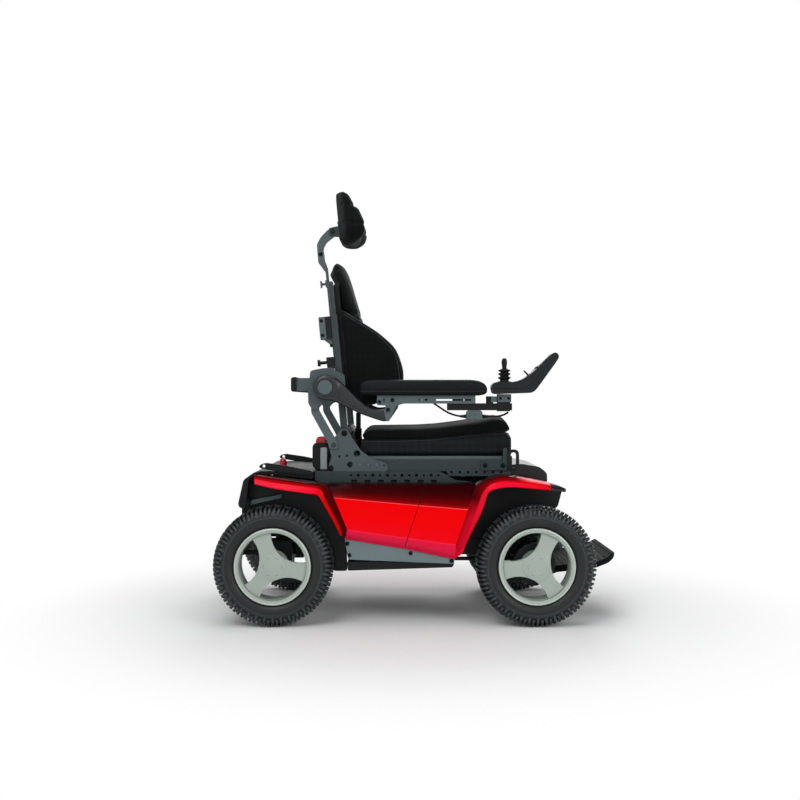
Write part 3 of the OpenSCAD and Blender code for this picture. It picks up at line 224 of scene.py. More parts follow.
def hard(name, base, drift, rough, relief_mm, depth_mm, cell=False, painted_lights=(), **sockets):
    """Sprayed, moulded or cast surface: colour drift, roughness drift, a fine relief and the painted
    light on its points.
    """
    sockets.setdefault("Specular_IOR_Level", 0.22)
    made, tree, shader, place = material(name, **sockets)
    wide = add(tree, "TexNoise", {"Vector": place, "Scale": DRIFT_SCALE,
                                            "Detail": 2.0}).outputs["Fac"]
    tint = mixed(tree, wide, colour(base), colour(drift))
    # painted shade, reflection and highlight written on the points are blended into the colour
    if painted_lights:
        mark = add(tree, "Attribute", attribute_name="painted_light").outputs["Color"]
        for part, code in zip(add(tree, "SeparateColor", {0: mark}).outputs, painted_lights):
            tint = mixed(tree, part, tint, colour(code))
    tree.links.new(tint, shader.inputs["Base Color"])
    fine = add(tree, "TexVoronoi" if cell else "TexNoise",
               {"Vector": place, "Scale": 1000 / relief_mm}).outputs[0]
    spread = add(tree, "MapRange", {"Value": wide, "From Min": 0.3, "From Max": 0.7,
                                              "To Min": rough[0], "To Max": rough[1]})
    tree.links.new(spread.outputs["Result"], shader.inputs["Roughness"])
    bump = add(tree, "Bump", {"Height": fine, "Strength": 0.6,
                                        "Distance": depth_mm / 1000})
    tree.links.new(bump.outputs["Normal"], shader.inputs["Normal"])
    return made


# %% Paints and coats
# Two-pack gloss paint sprayed on moulded ABS: a thin clear coat over red, with a maroon painted
# shade on the shoulders, a crimson painted reflection at the foot and pale painted highlights along
# the creases; the pigment tints what it mirrors, so red stays pure
red_paint = hard("gloss_red_two_pack_paint", "#fb0206", "#f40106", (0.26, 0.32), 5.0, 0.02,
                 painted_lights=("#120103", "#f21a48", "#ff9aa4"), Specular_Tint=colour("#ff1418"),
                 Coat_Weight=0.06, Coat_Roughness=0.06)


def coat(shade, base, drift):
    """Polyester powder coat: fine orange peel, satin sheen."""
    return hard(shade + "_powder_coat", base, drift, (0.34, 0.44), 3.0, 0.12)


black_coat = coat("black", "#0e1112", "#15191a")
graphite_coat = coat("graphite", "#30393b", "#384143")
slate_coat = coat("slate_grey", "#2f393b", "#353f41")
iron_coat = coat("iron_grey", "#465153", "#4e595b")
grey_coat = coat("grey", "#4e5a5c", "#566264")
pale_coat = coat("pale_grey", "#687679", "#718083")
# Thick glossy lacquer on the cast arms: nearly black, with a long soft highlight
arm_lacquer = hard("dark_lacquered_casting", "#12171a", "#181e20", (0.28, 0.36), 6.0, 0.05,
                   Coat_Weight=0.3, Coat_Roughness=0.2, Specular_IOR_Level=0.4)
print("paints and coats: 8")

# %% Metals
# Cast aluminium wheel painted silver: flake under lacquer, so part metal and mostly paint
silver_alloy = hard("silver_painted_alloy", "#a3aea6", "#abb6ad", (0.36, 0.44), 3.0, 0.06,
                    Metallic=0.2)
# The same silver, lighter on the rolled lip as its painted highlight
highlight_lip_alloy = hard("painted_highlight_silver_lip", "#c0cac2", "#c8d1c9", (0.28, 0.36), 3.0, 0.04, Metallic=0.2)
# The same silver, darkened as painted shade where it lies in a groove and along the boss line
painted_shade_alloy = hard("painted_shade_silver_groove", "#49524c", "#535c56", (0.45, 0.55), 3.0, 0.06,
                    Metallic=0.2)
# Sand-cast aluminium housings, painted dark: coarse skin
cast_dark = hard("dark_cast_aluminium", "#1f2325", "#282d2f", (0.45, 0.58), 4.0, 0.4)
# Zinc-plated steel: bright, slightly cloudy
zinc = hard("zinc_plated_steel", "#9fa5a6", "#b2b7b7", (0.28, 0.4), 6.0, 0.03, Metallic=1.0)
# Black-oxide screws: dark metal with an oily sheen
black_oxide = hard("black_oxide_steel", "#0e0f10", "#15171a", (0.3, 0.4), 3.0, 0.05, Metallic=0.6)
print("metals: 6")

# %% Plastics, rubbers and lenses
# Injection-moulded ABS from a spark-eroded tool: an even grain that breaks up highlights
black_abs = hard("grained_black_abs", "#0b0d0e", "#101314", (0.40, 0.50), 2.5, 0.2, cell=True)
# The same resin from a polished tool, on the nose and the fender tips: long clean highlights
gloss_abs = hard("polished_black_abs", "#0a0c0d", "#0f1213", (0.2, 0.28), 8.0, 0.05,
                 Specular_IOR_Level=0.5)
# A charcoal shade of it on the control pod
pod_abs = hard("grained_charcoal_abs", "#14181a", "#1a1f21", (0.38, 0.46), 2.5, 0.2, cell=True)
# Natural rubber tyre: near black, with a grey painted highlight on the lug faces and the rubbing
# strip
tread_rubber = hard("carbon_black_tyre_rubber", "#0c0f10", "#121617", (0.38, 0.5), 4.0, 0.2,
                    painted_lights=("#5a6769",), Specular_IOR_Level=0.45)
# Soft silicone and thermoplastic rubber: bellows, knob, cables and grips
soft_rubber = hard("soft_black_rubber", "#0b0c0d", "#111314", (0.5, 0.62), 3.0, 0.1)
# Glass-filled nylon of the footplates: dull, with a coarse tool skin
tread_nylon = hard("dull_black_nylon", "#0c0f10", "#121617", (0.6, 0.7), 4.0, 0.2, cell=True,
                   Specular_IOR_Level=0.08)
# Integral-skin polyurethane foam: the arm pads' leathery moulded skin
pu_skin = hard("integral_skin_polyurethane", "#0a0d0e", "#101415", (0.45, 0.55), 3.5, 0.2,
               cell=True, Specular_IOR_Level=0.14)
# Moulded acrylic lens: coloured through, glossy
red_lens = hard("red_acrylic_lens", "#b00d18", "#c81422", (0.06, 0.12), 5.0, 0.05, Coat_Weight=0.6)
# Prismatic reflector film: pale grey with a fine honeycomb, drawn 4 mm across to be seen
reflector = hard("prismatic_reflector_film", "#8e9a9c", "#a4afb0", (0.2, 0.3), 4.0, 0.3, cell=True)
# Toughened display glass: smooth and almost black
screen_glass = hard("dark_display_glass", "#05070a", "#080b10", (0.04, 0.07), 20.0, 0.01,
                    Coat_Weight=1.0)
print("plastics, rubbers and lenses: 10")


# %% [markdown]
# ## Woven covers
# The covers are woven polyester. A weave is two families of threads that pass over and under each
# other; drawn from the object's own coordinates, three crossed waves show as such a cloth
# whichever way a surface turns, and no unwrapping is needed. Real threads are about 0.6 mm apart
# and are drawn about 3 mm apart here, as fine as the picture can hold.

# %% Recipe for woven covers
WAVES_PER_UNIT = 20


def woven(name, base, thread, pitch_mm, depth_mm, rough, sheen):
    """Woven polyester cover: crossed threads, lint in the hollows and a soft grazing sheen."""
    made, tree, shader, place = material(name, Roughness=rough, Specular_IOR_Level=0.12,
                                         Sheen_Weight=sheen, Sheen_Roughness=0.4)
    scale, crossed = 1000 / pitch_mm / WAVES_PER_UNIT, None
    for axis in ("X", "Y", "Z"):
        band = add(tree, "TexWave", {"Vector": place, "Scale": scale, "Distortion": 0.4,
                                               "Detail": 1.0}, bands_direction=axis).outputs["Fac"]
        crossed = band if crossed is None else add(tree, "Math",
                                                   {0: crossed, 1: band}).outputs[0]
    cloth = add(tree, "MapRange", {"Value": crossed, "From Max": 3.0}).outputs["Result"]
    lint = add(tree, "TexNoise", {"Vector": place, "Scale": 22.0, "Detail": 4.0})
    shade = add(tree, "Math", {0: cloth, 1: lint.outputs["Fac"]}, operation="MULTIPLY")
    tint = mixed(tree, shade.outputs[0], colour(base), colour(thread))
    tree.links.new(tint, shader.inputs["Base Color"])
    bump = add(tree, "Bump", {"Height": cloth, "Strength": 0.5,
                                        "Distance": depth_mm / 1000})
    tree.links.new(bump.outputs["Normal"], shader.inputs["Normal"])
    return made


# %% Fabrics
# Spacer-knit polyester on the seat, back and headrest: near black with a faint grey sheen
seat_fabric = woven("black_spacer_knit_cover", "#060808", "#131718", 3.0, 0.4, 0.85, 0.06)
# Coated polyester on the cushion's base: a shade lighter, tougher and smoother
base_fabric = woven("charcoal_coated_polyester", "#131718", "#23292b", 3.5, 0.3, 0.7, 0.04)
# Nylon binding tape for piping: tight, greyer and a little shiny
piping_tape = woven("grey_nylon_binding", "#1c2122", "#3a4244", 3.0, 0.2, 0.5, 0.1)
print("finishes:", len(bpy.data.materials))


# %% [markdown]
# ## Pieces
# Everything that is added rides with one CAD node: it moves with that node's body, and either
# stands in for the node or lies on it as a detail. One function does all of that, and a second one
# first turns a bmesh, Blender's editable mesh, into a clean piece.

# %% Pieces and their finish
WELD = 1e-5


def add_piece(name, mesh, node, finish, replaces=False):
    """A new object that rides with a CAD node, and may stand in for it."""
    obj = bpy.data.objects.new(name, mesh)
    bpy.context.collection.objects.link(obj)
    mesh.materials.clear()
    mesh.materials.append(finish)
    if replaces:
        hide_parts(node)
    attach(obj, BODY[node])
    return obj


def smooth(mesh, angle=40):
    """Shade smooth, with edges sharper than an angle kept crisp."""
    mesh.shade_smooth()
    mesh.set_sharp_from_angle(angle=math.radians(angle))
    return mesh


def piece_from(bm, name, node, finish, replaces=False):
    """A piece from a bmesh, welded and with its faces turned outwards."""
    bmesh.ops.remove_doubles(bm, verts=bm.verts, dist=WELD)
    bmesh.ops.recalc_face_normals(bm, faces=bm.faces)
    mesh = bpy.data.meshes.new(name)
    bm.to_mesh(mesh)
    bm.free()
    return add_piece(name, smooth(mesh), node, finish, replaces)


def painted_light(mesh, values):
    """Write painted light (painted shade, reflection or highlight) on each point of a mesh."""
    paint = mesh.color_attributes.new("painted_light", "FLOAT_COLOR", "POINT")
    for mark, value in zip(paint.data, values):
        mark.color = (*value, 1.0)


print("bodies to ride on:", len(BODIES))


# %% [markdown]
# ## Tyres
# The tyres are moulded in one piece with about 80 lugs on each shoulder; each lug runs from the
# tread over the shoulder and down the sidewall, every second one a little further. The carcass is
# turned from its section, as on a lathe, and the lugs are set round it one by one, the two
# shoulders half a pitch apart. Real blocks are used because a bump could not show in the outline.

# %% Turning and blocks
def revolve(bm, profile, steps, place):
    """Turn (radius, height) points about the local Z axis and add the skin at a place."""
    rings = []
    for r, h in profile:
        turn = [0] if r < 1e-6 else [2 * math.pi * i / steps for i in range(steps)]
        rings.append([bm.verts.new(place @ Vector((r * math.cos(a), r * math.sin(a), h)))
                      for a in turn])
    for low, high in zip(rings, rings[1:]):
        for i in range(steps):
            j = (i + 1) % steps
            ring = (low[i % len(low)], low[j % len(low)], high[j % len(high)], high[i % len(high)])
            corners = list(dict.fromkeys(ring))
            if len(corners) > 2:
                bm.faces.new(corners)


def prism(bm, near, far):
    """A closed block between two matching outlines."""
    near, far = [[bm.verts.new(p) for p in outline] for outline in (near, far)]
    bm.faces.new(near[::-1])
    bm.faces.new(far)
    for i in range(len(near)):
        j = (i + 1) % len(near)
        bm.faces.new([near[i], near[j], far[j], far[i]])


def outward(x, y, z, side):
    """A place on the chair's flank whose local Z axis points out, on side -1 right or 1 left."""
    return Matrix.Translation((x, side * y, z)) @ Matrix.Rotation(-side * math.pi / 2, 4, "X")


# %% Tyre sections
REAR_X, FRONT_X, WHEEL_Z, TRACK_HALF = -0.432, 0.344, 0.178, 0.295
WHEELS = {"rear_right": (REAR_X, -1), "rear_left": (REAR_X, 1),
          "front_right": (FRONT_X, -1), "front_left": (FRONT_X, 1)}
LUGS, SHOULDER_SKEW, CROWN_SKEW = 79, 0.10, 0.35
# the section's outer half as (radius, distance from the middle), from bead to crown
CARCASS = [(0.1062, 0.0335), (0.1128, 0.0345), (0.1145, 0.0362), (0.1180, 0.0396), (0.1220, 0.0422),
           (0.1270, 0.0442), (0.1320, 0.0453), (0.1370, 0.0456), (0.1398, 0.0454), (0.1405, 0.0440),
           (0.1430, 0.0443), (0.1470, 0.0436), (0.1478, 0.0444), (0.1510, 0.0440), (0.1560, 0.0418),
           (0.1620, 0.0372), (0.1672, 0.0280), (0.1690, 0.0150), (0.1692, 0.0)]
CARCASS += [(r, -h) for r, h in CARCASS[-2::-1]] + CARCASS[:1]
# blocks as (radius, distance from the middle, half width)
CROWN = [(0.1660, -0.0075, 0.0052), (0.1776, -0.0070, 0.0048), (0.1776, 0.0070, 0.0048),
         (0.1660, 0.0075, 0.0052)]
LONG_FOOT, SHORT_FOOT = (0.1485, 0.0026), (0.1550, 0.0031)
LUG_TOP_R, LUG_FOOT_R, LUG_FACE, STRIP_R = 0.1765, 0.148, 0.0450, (0.1402, 0.1474)
print("lug pitch:", round(2000 * math.pi * LUG_TOP_R / LUGS, 1), "mm")


# %% Lugs, carcass and bloom
def lug(bm, block, angle, skew, place):
    """A tread block at an angle round the tyre, closed by its two flanks."""
    sides = [[(r, angle + (t * w + skew * h) / r, h) for r, h, w in block] for t in (-1, 1)]
    prism(bm, *([place @ Vector((r * math.cos(a), r * math.sin(a), h)) for r, a, h in side]
                for side in sides))


def tyre(bm, place):
    """Carcass, shoulder lugs and the row of slanted knobs on the crown."""
    revolve(bm, CARCASS, 120, place)
    pitch = 2 * math.pi / LUGS
    for i in range(LUGS):
        foot, wide = LONG_FOOT if i % 2 else SHORT_FOOT
        block = [(0.1660, 0.0130, 0.0034), (0.1772, 0.0130, 0.0034), (0.1766, 0.0270, 0.0034),
                 (0.1738, 0.0370, 0.0034), (0.1680, 0.0432, 0.0034), (0.1600, 0.0457, 0.0031),
                 (foot, 0.0459, wide), (foot, 0.0420, wide), (0.1610, 0.0340, 0.0034)]
        lug(bm, block, pitch * i, SHOULDER_SKEW, place)
        mirrored = [(r, -h, w) for r, h, w in block][::-1]
        lug(bm, mirrored, pitch * (i + 0.5), SHOULDER_SKEW, place)
        if i % 2 == 0:
            lug(bm, CROWN, pitch * (i + 0.75), CROWN_SKEW, place)


def lug_painted_highlight(p, wheel_x):
    """How much painted highlight a point of a tyre gets: most on the lug faces, a little on the
    rubbing strip.
    """
    r, h = math.hypot(p.x - wheel_x, p.z - WHEEL_Z), abs(abs(p.y) - TRACK_HALF)
    lit_face = r > LUG_TOP_R or (r > LUG_FOOT_R and h > LUG_FACE)
    return (0.3 if lit_face else 0.15 if STRIP_R[0] < r < STRIP_R[1] else 0.0, 0, 0)


# %% Tyres
for wheel, (x, side) in WHEELS.items():
    node = wheel + "_tyre"
    bm = bmesh.new()
    tyre(bm, outward(x, TRACK_HALF, WHEEL_Z, side))
    mesh = piece_from(bm, node + ".moulded", node, tread_rubber, True).data
    # a grey painted highlight on the lug faces and the rubbing strip
    painted_light(mesh, [lug_painted_highlight(v.co, x) for v in mesh.vertices])
print("tyres:", len(WHEELS), "with", 2 * LUGS, "shoulder lugs each")


# %% [markdown]
# ## Dressed solids
# A pressed, cast or moulded part never has a knife edge: the tool leaves a radius of 1 to 4 mm,
# and that radius is what catches the light. Most hard parts are therefore copies of their CAD
# solids with the flat faces joined up again and the sharp edges rounded by a bevel. A node may
# hold several solids, and they are told apart so that each can have its own finish.

# %% Solids of a node
def span(points, axis):
    """A solid's size along one axis."""
    return max(p[axis] for p in points) - min(p[axis] for p in points)


def solids(node):
    """The separate solids of a node as (points, faces), largest first, with flat faces joined."""
    bm = bmesh.new()
    bm.from_mesh(frame["nodes"][node].data)
    bmesh.ops.remove_doubles(bm, verts=bm.verts, dist=2 * WELD)
    bmesh.ops.dissolve_limit(bm, angle_limit=math.radians(0.8), verts=bm.verts, edges=bm.edges)
    bmesh.ops.recalc_face_normals(bm, faces=bm.faces)
    bm.faces.ensure_lookup_table()
    seen, parts = set(), []
    for first in bm.faces:
        if first.index in seen:
            continue
        seen.add(first.index)
        group, queue = [], [first]
        while queue:
            face = queue.pop()
            group.append(face)
            for other in (near for edge in face.edges for near in edge.link_faces):
                if other.index not in seen:
                    seen.add(other.index)
                    queue.append(other)
        points = list(dict.fromkeys(v for face in group for v in face.verts))
        place = {v: i for i, v in enumerate(points)}
        parts.append(([v.co.copy() for v in points],
                      [[place[v] for v in face.verts] for face in group]))
    bm.free()
    return sorted(parts, key=lambda part: -math.prod(span(part[0], axis) for axis in range(3)))


def joined(name, parts):
    """One mesh from several solids."""
    mesh, points, faces = bpy.data.meshes.new(name), [], []
    for some, theirs in parts:
        faces += [[i + len(points) for i in face] for face in theirs]
        points += some
    mesh.from_pydata(points, [], faces)
    mesh.update()
    return mesh


# %% Rounded copies and wires
EDGE_ANGLE = 38


def rounded(obj, radius_mm, segments=2):
    """Round the sharp edges and shade the rest smooth."""
    smooth(obj.data, EDGE_ANGLE)
    bevel = obj.modifiers.new("edge_radius", "BEVEL")
    bevel.width, bevel.segments, bevel.limit_method = radius_mm / 1000, segments, "ANGLE"
    bevel.angle_limit, bevel.harden_normals = math.radians(EDGE_ANGLE), False
    bevel.miter_outer = "MITER_ARC"
    obj.modifiers.new("flat_faces", "WEIGHTED_NORMAL").keep_sharp = True
    return obj


def copied(node, finish, pick=None, name=None):
    """A finished copy that stands in for a hard node, or for the solids that pick chooses."""
    parts = [part for i, part in enumerate(solids(node)) if pick is None or pick(i, part[0])]
    name = name or node + ".dressed"
    return add_piece(name, joined(name, parts), node, finish, True)


def dress(node, finish, radius_mm, segments=2, pick=None, name=None):
    """A copy of a hard node with its edges rounded."""
    return rounded(copied(node, finish, pick, name), radius_mm, segments)


def pipe(name, lines, radius_mm, node, finish, cyclic=False, replaces=False):
    """Round cord or wire along one or more lines of points."""
    curve = bpy.data.curves.new(name, "CURVE")
    curve.dimensions, curve.bevel_depth, curve.bevel_resolution = "3D", radius_mm / 1000, 3
    curve.use_fill_caps = not cyclic
    for line in lines:
        spline = curve.splines.new("POLY")
        spline.points.add(len(line) - 1)
        spline.use_cyclic_u = cyclic
        for point, at in zip(spline.points, line):
            point.co = (*at, 1)
    return add_piece(name, curve, node, finish, replaces)


# %% [markdown]
# ## Wheels
# The rims are three-spoke castings, sprayed silver with a faint green cast. A rolled bead runs
# round the lip, in a lighter silver as its painted highlight, with a groove inside it in a dark
# painted shade, and a shallow six-sided boss marks the hub, drawn as a line in the same painted
# shade. The casting is the CAD solid with soft edges; bead, groove and boss are added on its outer
# face, since they are too fine to be worth cutting into it.

# %% Rims
# (radius, height above the wheel's middle, thickness radius)
BEADS = [(0.1098, 0.0412, 0.0024)]
GROOVES = [(0.1055, 0.0398, 0.0011), (0.0995, 0.0368, 0.0007)]
BOSS_R, BOSS_H = 0.0285, 0.0404

for wheel, (x, side) in WHEELS.items():
    node = wheel + "_rim"
    dress(node, silver_alloy, 1.6, segments=3)
    place = outward(x, TRACK_HALF, WHEEL_Z, side)
    # the bead is drawn in a lighter silver as painted highlight, the groove in a dark silver as
    # painted shade
    for detail, rings, finish in ((".bead", BEADS, highlight_lip_alloy), (".groove", GROOVES, painted_shade_alloy)):
        bm = bmesh.new()
        for r, h, thick in rings:
            turn = [2 * math.pi * i / 8 for i in range(9)]
            section = [(r + thick * math.cos(a), h + thick * math.sin(a)) for a in turn]
            revolve(bm, section, 96, place)
        piece_from(bm, node + detail, node, finish)
    six = [place @ Vector((BOSS_R * math.cos(a), BOSS_R * math.sin(a), BOSS_H))
           for a in [math.pi * i / 3 for i in range(6)]]
    # the boss is drawn as a line in the dark silver of painted shade
    pipe(node + ".boss_line", [six], 0.45, node, painted_shade_alloy, cyclic=True)
print("rims:", len(WHEELS))

# %% [markdown]
# ## Red body panels
# The side panels are thin mouldings in three facets: a shoulder that leans in under the seat, a
# flat flank and a foot that tucks under. The shoulder is painted almost maroon as a painted shade,
# the foot crimson as a painted reflection of the floor, and a thin pale painted highlight runs along
# the crease. Each facet is drawn as strips between two end lines, with a narrow round at each
# crease, and this painted light is written on the points, so that it stays with the paint from
# whichever side the panel is seen.

# %% Panel sections
PANEL_Y = 0.334
PANEL_ENDS = {
    "rear": [(-0.272, 0.418), (-0.2515, 0.3805), (-0.2125, 0.2865), (-0.221, 0.258)],
    "seam": [(0.014, 0.418), (-0.004, 0.3575), (-0.036, 0.2615), (-0.044, 0.229)],
    "front": [(0.1656, 0.418), (0.1416, 0.3455), (0.1061, 0.242), (0.1046, 0.198)],
}
PANEL_DEPTH = [PANEL_Y - 0.030, PANEL_Y, PANEL_Y - 0.002, PANEL_Y - 0.015]
# along the section: facet, share of its height, painted light (maroon painted shade, crimson
# painted reflection, pale painted highlight)
PANEL_ROWS = [(0, 0.0, (1, 0, 0)), (0, 0.3, (0.99, 0, 0)), (0, 0.6, (0.95, 0, 0)),
              (0, 0.85, (0.82, 0, 0)), (0, 0.965, (0.6, 0, 0)), (0, 1.0, (0.1, 0, 0.3)),
              (1, 0.012, (0.04, 0, 0)), (1, 0.5, (0, 0, 0)), (1, 0.985, (0, 0.1, 0)),
              (2, 0.0, (0, 0.6, 0.1)), (2, 0.06, (0, 0.95, 0)), (2, 1.0, (0.1, 1, 0))]
# the in-turned flange at the top carries a maroon painted shade
FLANGE_PAINTED_SHADE, SEAM_GAP = (0.98, 0, 0), 0.0008
PANEL_STEPS, SHEET_ANGLE = (0, 0.01, 0.25, 0.5, 0.75, 0.99, 1), 50
print("panel section:", len(PANEL_ROWS), "rows")


# %% Moulded sheets
def panel_edge(end, shift, side):
    """A panel's section at one end, top to foot, with the flange that turns in at the top."""
    corners = [Vector((x + shift, side * y, z)) for (x, z), y in zip(PANEL_ENDS[end], PANEL_DEPTH)]
    top = corners[0] + Vector((0, -side * 0.045, 0.002))
    return [top] + [corners[f].lerp(corners[f + 1], t) for f, t, _ in PANEL_ROWS]


def skin(name, lines, painted_lights, node, finish, thick_mm, side, replaces=False):
    """A moulded sheet through lines of points: its painted light, its wall turned in, its inside
    bare.
    """
    m = len(lines[0])
    faces = [[i * m + j, i * m + j + 1, (i + 1) * m + j + 1, (i + 1) * m + j]
             for i in range(len(lines) - 1) for j in range(m - 1)]
    mesh = bpy.data.meshes.new(name)
    mesh.from_pydata([p for line in lines for p in line], [],
                     faces if side < 0 else [face[::-1] for face in faces])
    mesh.update()
    painted_light(mesh, [t for row in painted_lights for t in row])
    obj = add_piece(name, smooth(mesh, SHEET_ANGLE), node, finish, replaces)
    mesh.materials.append(black_abs)
    wall = obj.modifiers.new("wall", "SOLIDIFY")
    wall.thickness, wall.offset, wall.material_offset = thick_mm / 1000, -1, 1


# %% Side panels
for side, flank in FLANKS:
    for first, last, shift, back in (("rear", "seam", 0, -SEAM_GAP),
                                     ("seam", "front", SEAM_GAP, 0)):
        a, b = panel_edge(first, shift, side), panel_edge(last, back, side)
        lines = [[p.lerp(q, t) for p, q in zip(a, b)] for t in PANEL_STEPS]
        rows = [[FLANGE_PAINTED_SHADE] + [t for _, _, t in PANEL_ROWS]] * len(lines)
        skin(f"side_panel.{flank}_{first}", lines, rows, "side_panels", red_paint, 3.5, side,
             (flank, first) == ("right", "rear"))
print("side panels: 4")

# %% [markdown]
# ## Fenders
# Each fender is one moulding: a roof over the tyre, a shoulder, a set-back face and a lip that
# flares out again. Down the legs a maroon painted shade lies on the face and only the lip is bright;
# the lips carry a crimson painted reflection and the front fender's nose a pale painted highlight.
# The section is drawn at a few stations round the arch and curved between them, which keeps the
# long lines fair, and each corner of the section gets a small round.

# %% Fender stations
ROOF_Y, ARCH_STEPS, CORNER_R, LIP_TURN_MM = 0.246, 6, 0.0035, 3
# by station, in mm from the wheel's middle: X and Z of the shoulder, of the face's root, of the lip
REAR_ARCH = [(213, 86, 204, 90, 199, 96), (219, 110, 194, 122, 184, 126),
             (180, 204, 156, 195, 148, 190), (157, 237, 141, 226, 132, 211),
             (102, 246, 100, 235, 97, 217), (12, 259, 11, 246, 9, 230),
             (-54, 268, -55, 258, -52, 244)]
FRONT_ARCH = [(-239, 24, -230, 30, -219, 44), (-237.5, 66, -214, 71, -206, 77),
              (-202, 167, -178, 167, -163, 164), (-181, 230, -161, 213, -146, 214),
              (-154, 250, -139, 240, -131, 226), (-116, 264, -108, 250, -104, 233),
              (-80, 265, -74, 250, -69, 235), (-14, 254, -12, 242, -10, 230),
              (40, 243, 41, 234, 42, 226)]
# station, then the painted light (maroon painted shade, crimson painted reflection, pale painted
# highlight) of the face's upper edge, lower edge and lip
REAR_PAINTED_LIGHT = [(0, (0.95, 0, 0), (0.93, 0, 0), (0.2, 0, 0)),
              (2.9, (0.95, 0, 0), (0.9, 0, 0), (0.1, 0, 0)),
              (3.6, (0.95, 0, 0), (0.6, 0, 0), (0, 0.45, 0)),
              (6, (0.9, 0, 0), (0.5, 0, 0), (0, 0.5, 0.05))]
FRONT_PAINTED_LIGHT = [(0, (0.55, 0.3, 0), (0.5, 0.3, 0), (0.1, 0.4, 0)),
               (1.7, (0.55, 0.25, 0), (0.5, 0.25, 0), (0.1, 0.4, 0)),
               (2.5, (0.95, 0, 0), (0.9, 0, 0), (0.15, 0.4, 0)),
               (4, (0.95, 0, 0), (0.75, 0, 0), (0.05, 0.45, 0)),
               (6.3, (0.93, 0, 0), (0.6, 0, 0), (0, 0.5, 0)),
               (6.9, (0, 0.2, 0.6), (0.1, 0.1, 0), (0.1, 0.2, 0)),
               (8, (0, 0.2, 0.75), (0.4, 0, 0), (0.35, 0.1, 0))]
# the lip's inward turn carries a maroon painted shade
INNER_PAINTED_SHADE = (0.6, 0, 0)
print("stations:", len(REAR_ARCH), "rear and", len(FRONT_ARCH), "front")


# %% Curves, rounds and blended tones
def smooth_line(points, steps):
    """A line through all the points, curved between them."""
    line = []
    for i in range(len(points) - 1):
        a, b, c, d = (Vector(points[min(max(i + k, 0), len(points) - 1)]) for k in (-1, 0, 1, 2))
        for j in range(steps):
            t = j / steps
            line.append(0.5 * (2 * b + (c - a) * t + (2 * a - 5 * b + 4 * c - d) * t * t
                               + (3 * b - a - 3 * c + d) * t ** 3))
    return line + [Vector(points[-1])]


def fillet(points, radius):
    """The points with each inner corner cut back to a short round."""
    line = [points[0]]
    for a, b, c in zip(points, points[1:], points[2:]):
        back, on = a - b, c - b
        p = b + back.normalized() * min(radius, back.length / 2.2)
        q = b + on.normalized() * min(radius, on.length / 2.2)
        line += [p, (p + 2 * b + q) / 4, q]
    return line + [points[-1]]


def painted_light_at(station, stops):
    """The painted light of the face's upper edge, lower edge and lip at a station, blended between
    the stops on either side.
    """
    for (s0, *first), (s1, *second) in zip(stops, stops[1:]):
        if station <= s1:
            share = (station - s0) / (s1 - s0)
            return [tuple(p + (q - p) * share for p, q in zip(a, b))
                    for a, b in zip(first, second)]
    return stops[-1][1:]


# %% Fenders
def fender(name, arch, wheel_x, side, turn, stops, replaces=False):
    """A fender skin through the stations of an arch, with its painted shade, reflection and
    highlight.
    """
    def at(p, y):
        return Vector((wheel_x + p.x / 1000, side * y, WHEEL_Z + p.z / 1000))

    tracks = [smooth_line([(s[k], 0, s[k + 1]) for s in arch], ARCH_STEPS) for k in (0, 2, 4)]
    lines, rows = [], []
    for i, (top, root, lip) in enumerate(zip(*tracks)):
        inward = Vector((-lip.x, 0, -lip.z)).normalized() * LIP_TURN_MM
        corners = [at(top, ROOF_Y), at(top, PANEL_Y - 0.008), at(root, PANEL_Y - 0.010),
                   at(lip, PANEL_Y + 0.002), at(lip + inward, PANEL_Y - 0.006)]
        lines.append(fillet(corners, CORNER_R))
        upper, lower, edge = painted_light_at(i / ARCH_STEPS, stops)
        rows.append([upper] * 4 + [lower] * 2 + [edge] * 4 + [INNER_PAINTED_SHADE])
    skin(name, lines, rows, "fenders", red_paint, 2.5, turn, replaces)


for side, flank in FLANKS:
    fender(f"fender.rear_{flank}", REAR_ARCH, REAR_X, side, -side, REAR_PAINTED_LIGHT, flank == "right")
    fender(f"fender.front_{flank}", FRONT_ARCH, FRONT_X, side, side, FRONT_PAINTED_LIGHT)
print("fenders: 4")

# %% [markdown]
# ## Frame, covers and brackets
# The plain hard parts are tubes, plates and covers. Each is a rounded copy of its solids in the
# finish that the photograph shows for it, from black mouldings to pale grey sills; the number is
# the edge's radius in mm, small on sheet metal and large on mouldings.

# %% Hard parts from their solids
HARD = {
    "chassis_frame": (black_coat, 1.5), "belly_tray": (black_abs, 3), "batteries": (black_abs, 3),
    "power_controller": (black_coat, 1), "rear_gear_motors": (cast_dark, 2),
    "rear_hood": (black_abs, 2.5), "nose_cover": (gloss_abs, 8), "sill_plates": (pale_coat, 1),
    "base_rails": (slate_coat, 1), "rear_tie_downs": (black_coat, 2.5),
    "tail_light_posts": (black_abs, 4), "tail_light_lenses": (red_lens, 2.5),
    "seat_frame": (slate_coat, 1), "seat_side_plates": (iron_coat, 1),
    "tie_down_loops": (black_coat, 3), "back_shell": (black_abs, 1),
    "back_crossbars": (black_coat, 2), "headrest_bar": (grey_coat, 1),
    "headrest_link": (grey_coat, 1.5), "recline_links": (grey_coat, 1),
    "arm_carriers": (iron_coat, 2), "right_arm_bracket": (grey_coat, 0.8),
    "left_arm_bracket": (grey_coat, 0.8), "joystick_rail": (black_abs, 1),
    "joystick_pod": (pod_abs, 6), "joystick_gimbal": (zinc, 0.3), "pod_toggle": (black_abs, 0.8),
    "right_knuckle": (cast_dark, 1.5), "left_knuckle": (cast_dark, 1.5), "tie_rod": (zinc, 0.8),
    "leg_hanger": (graphite_coat, 1.5), "right_footplate": (tread_nylon, 3),
    "left_footplate": (tread_nylon, 3), "fender_tips": (gloss_abs, 2),
}
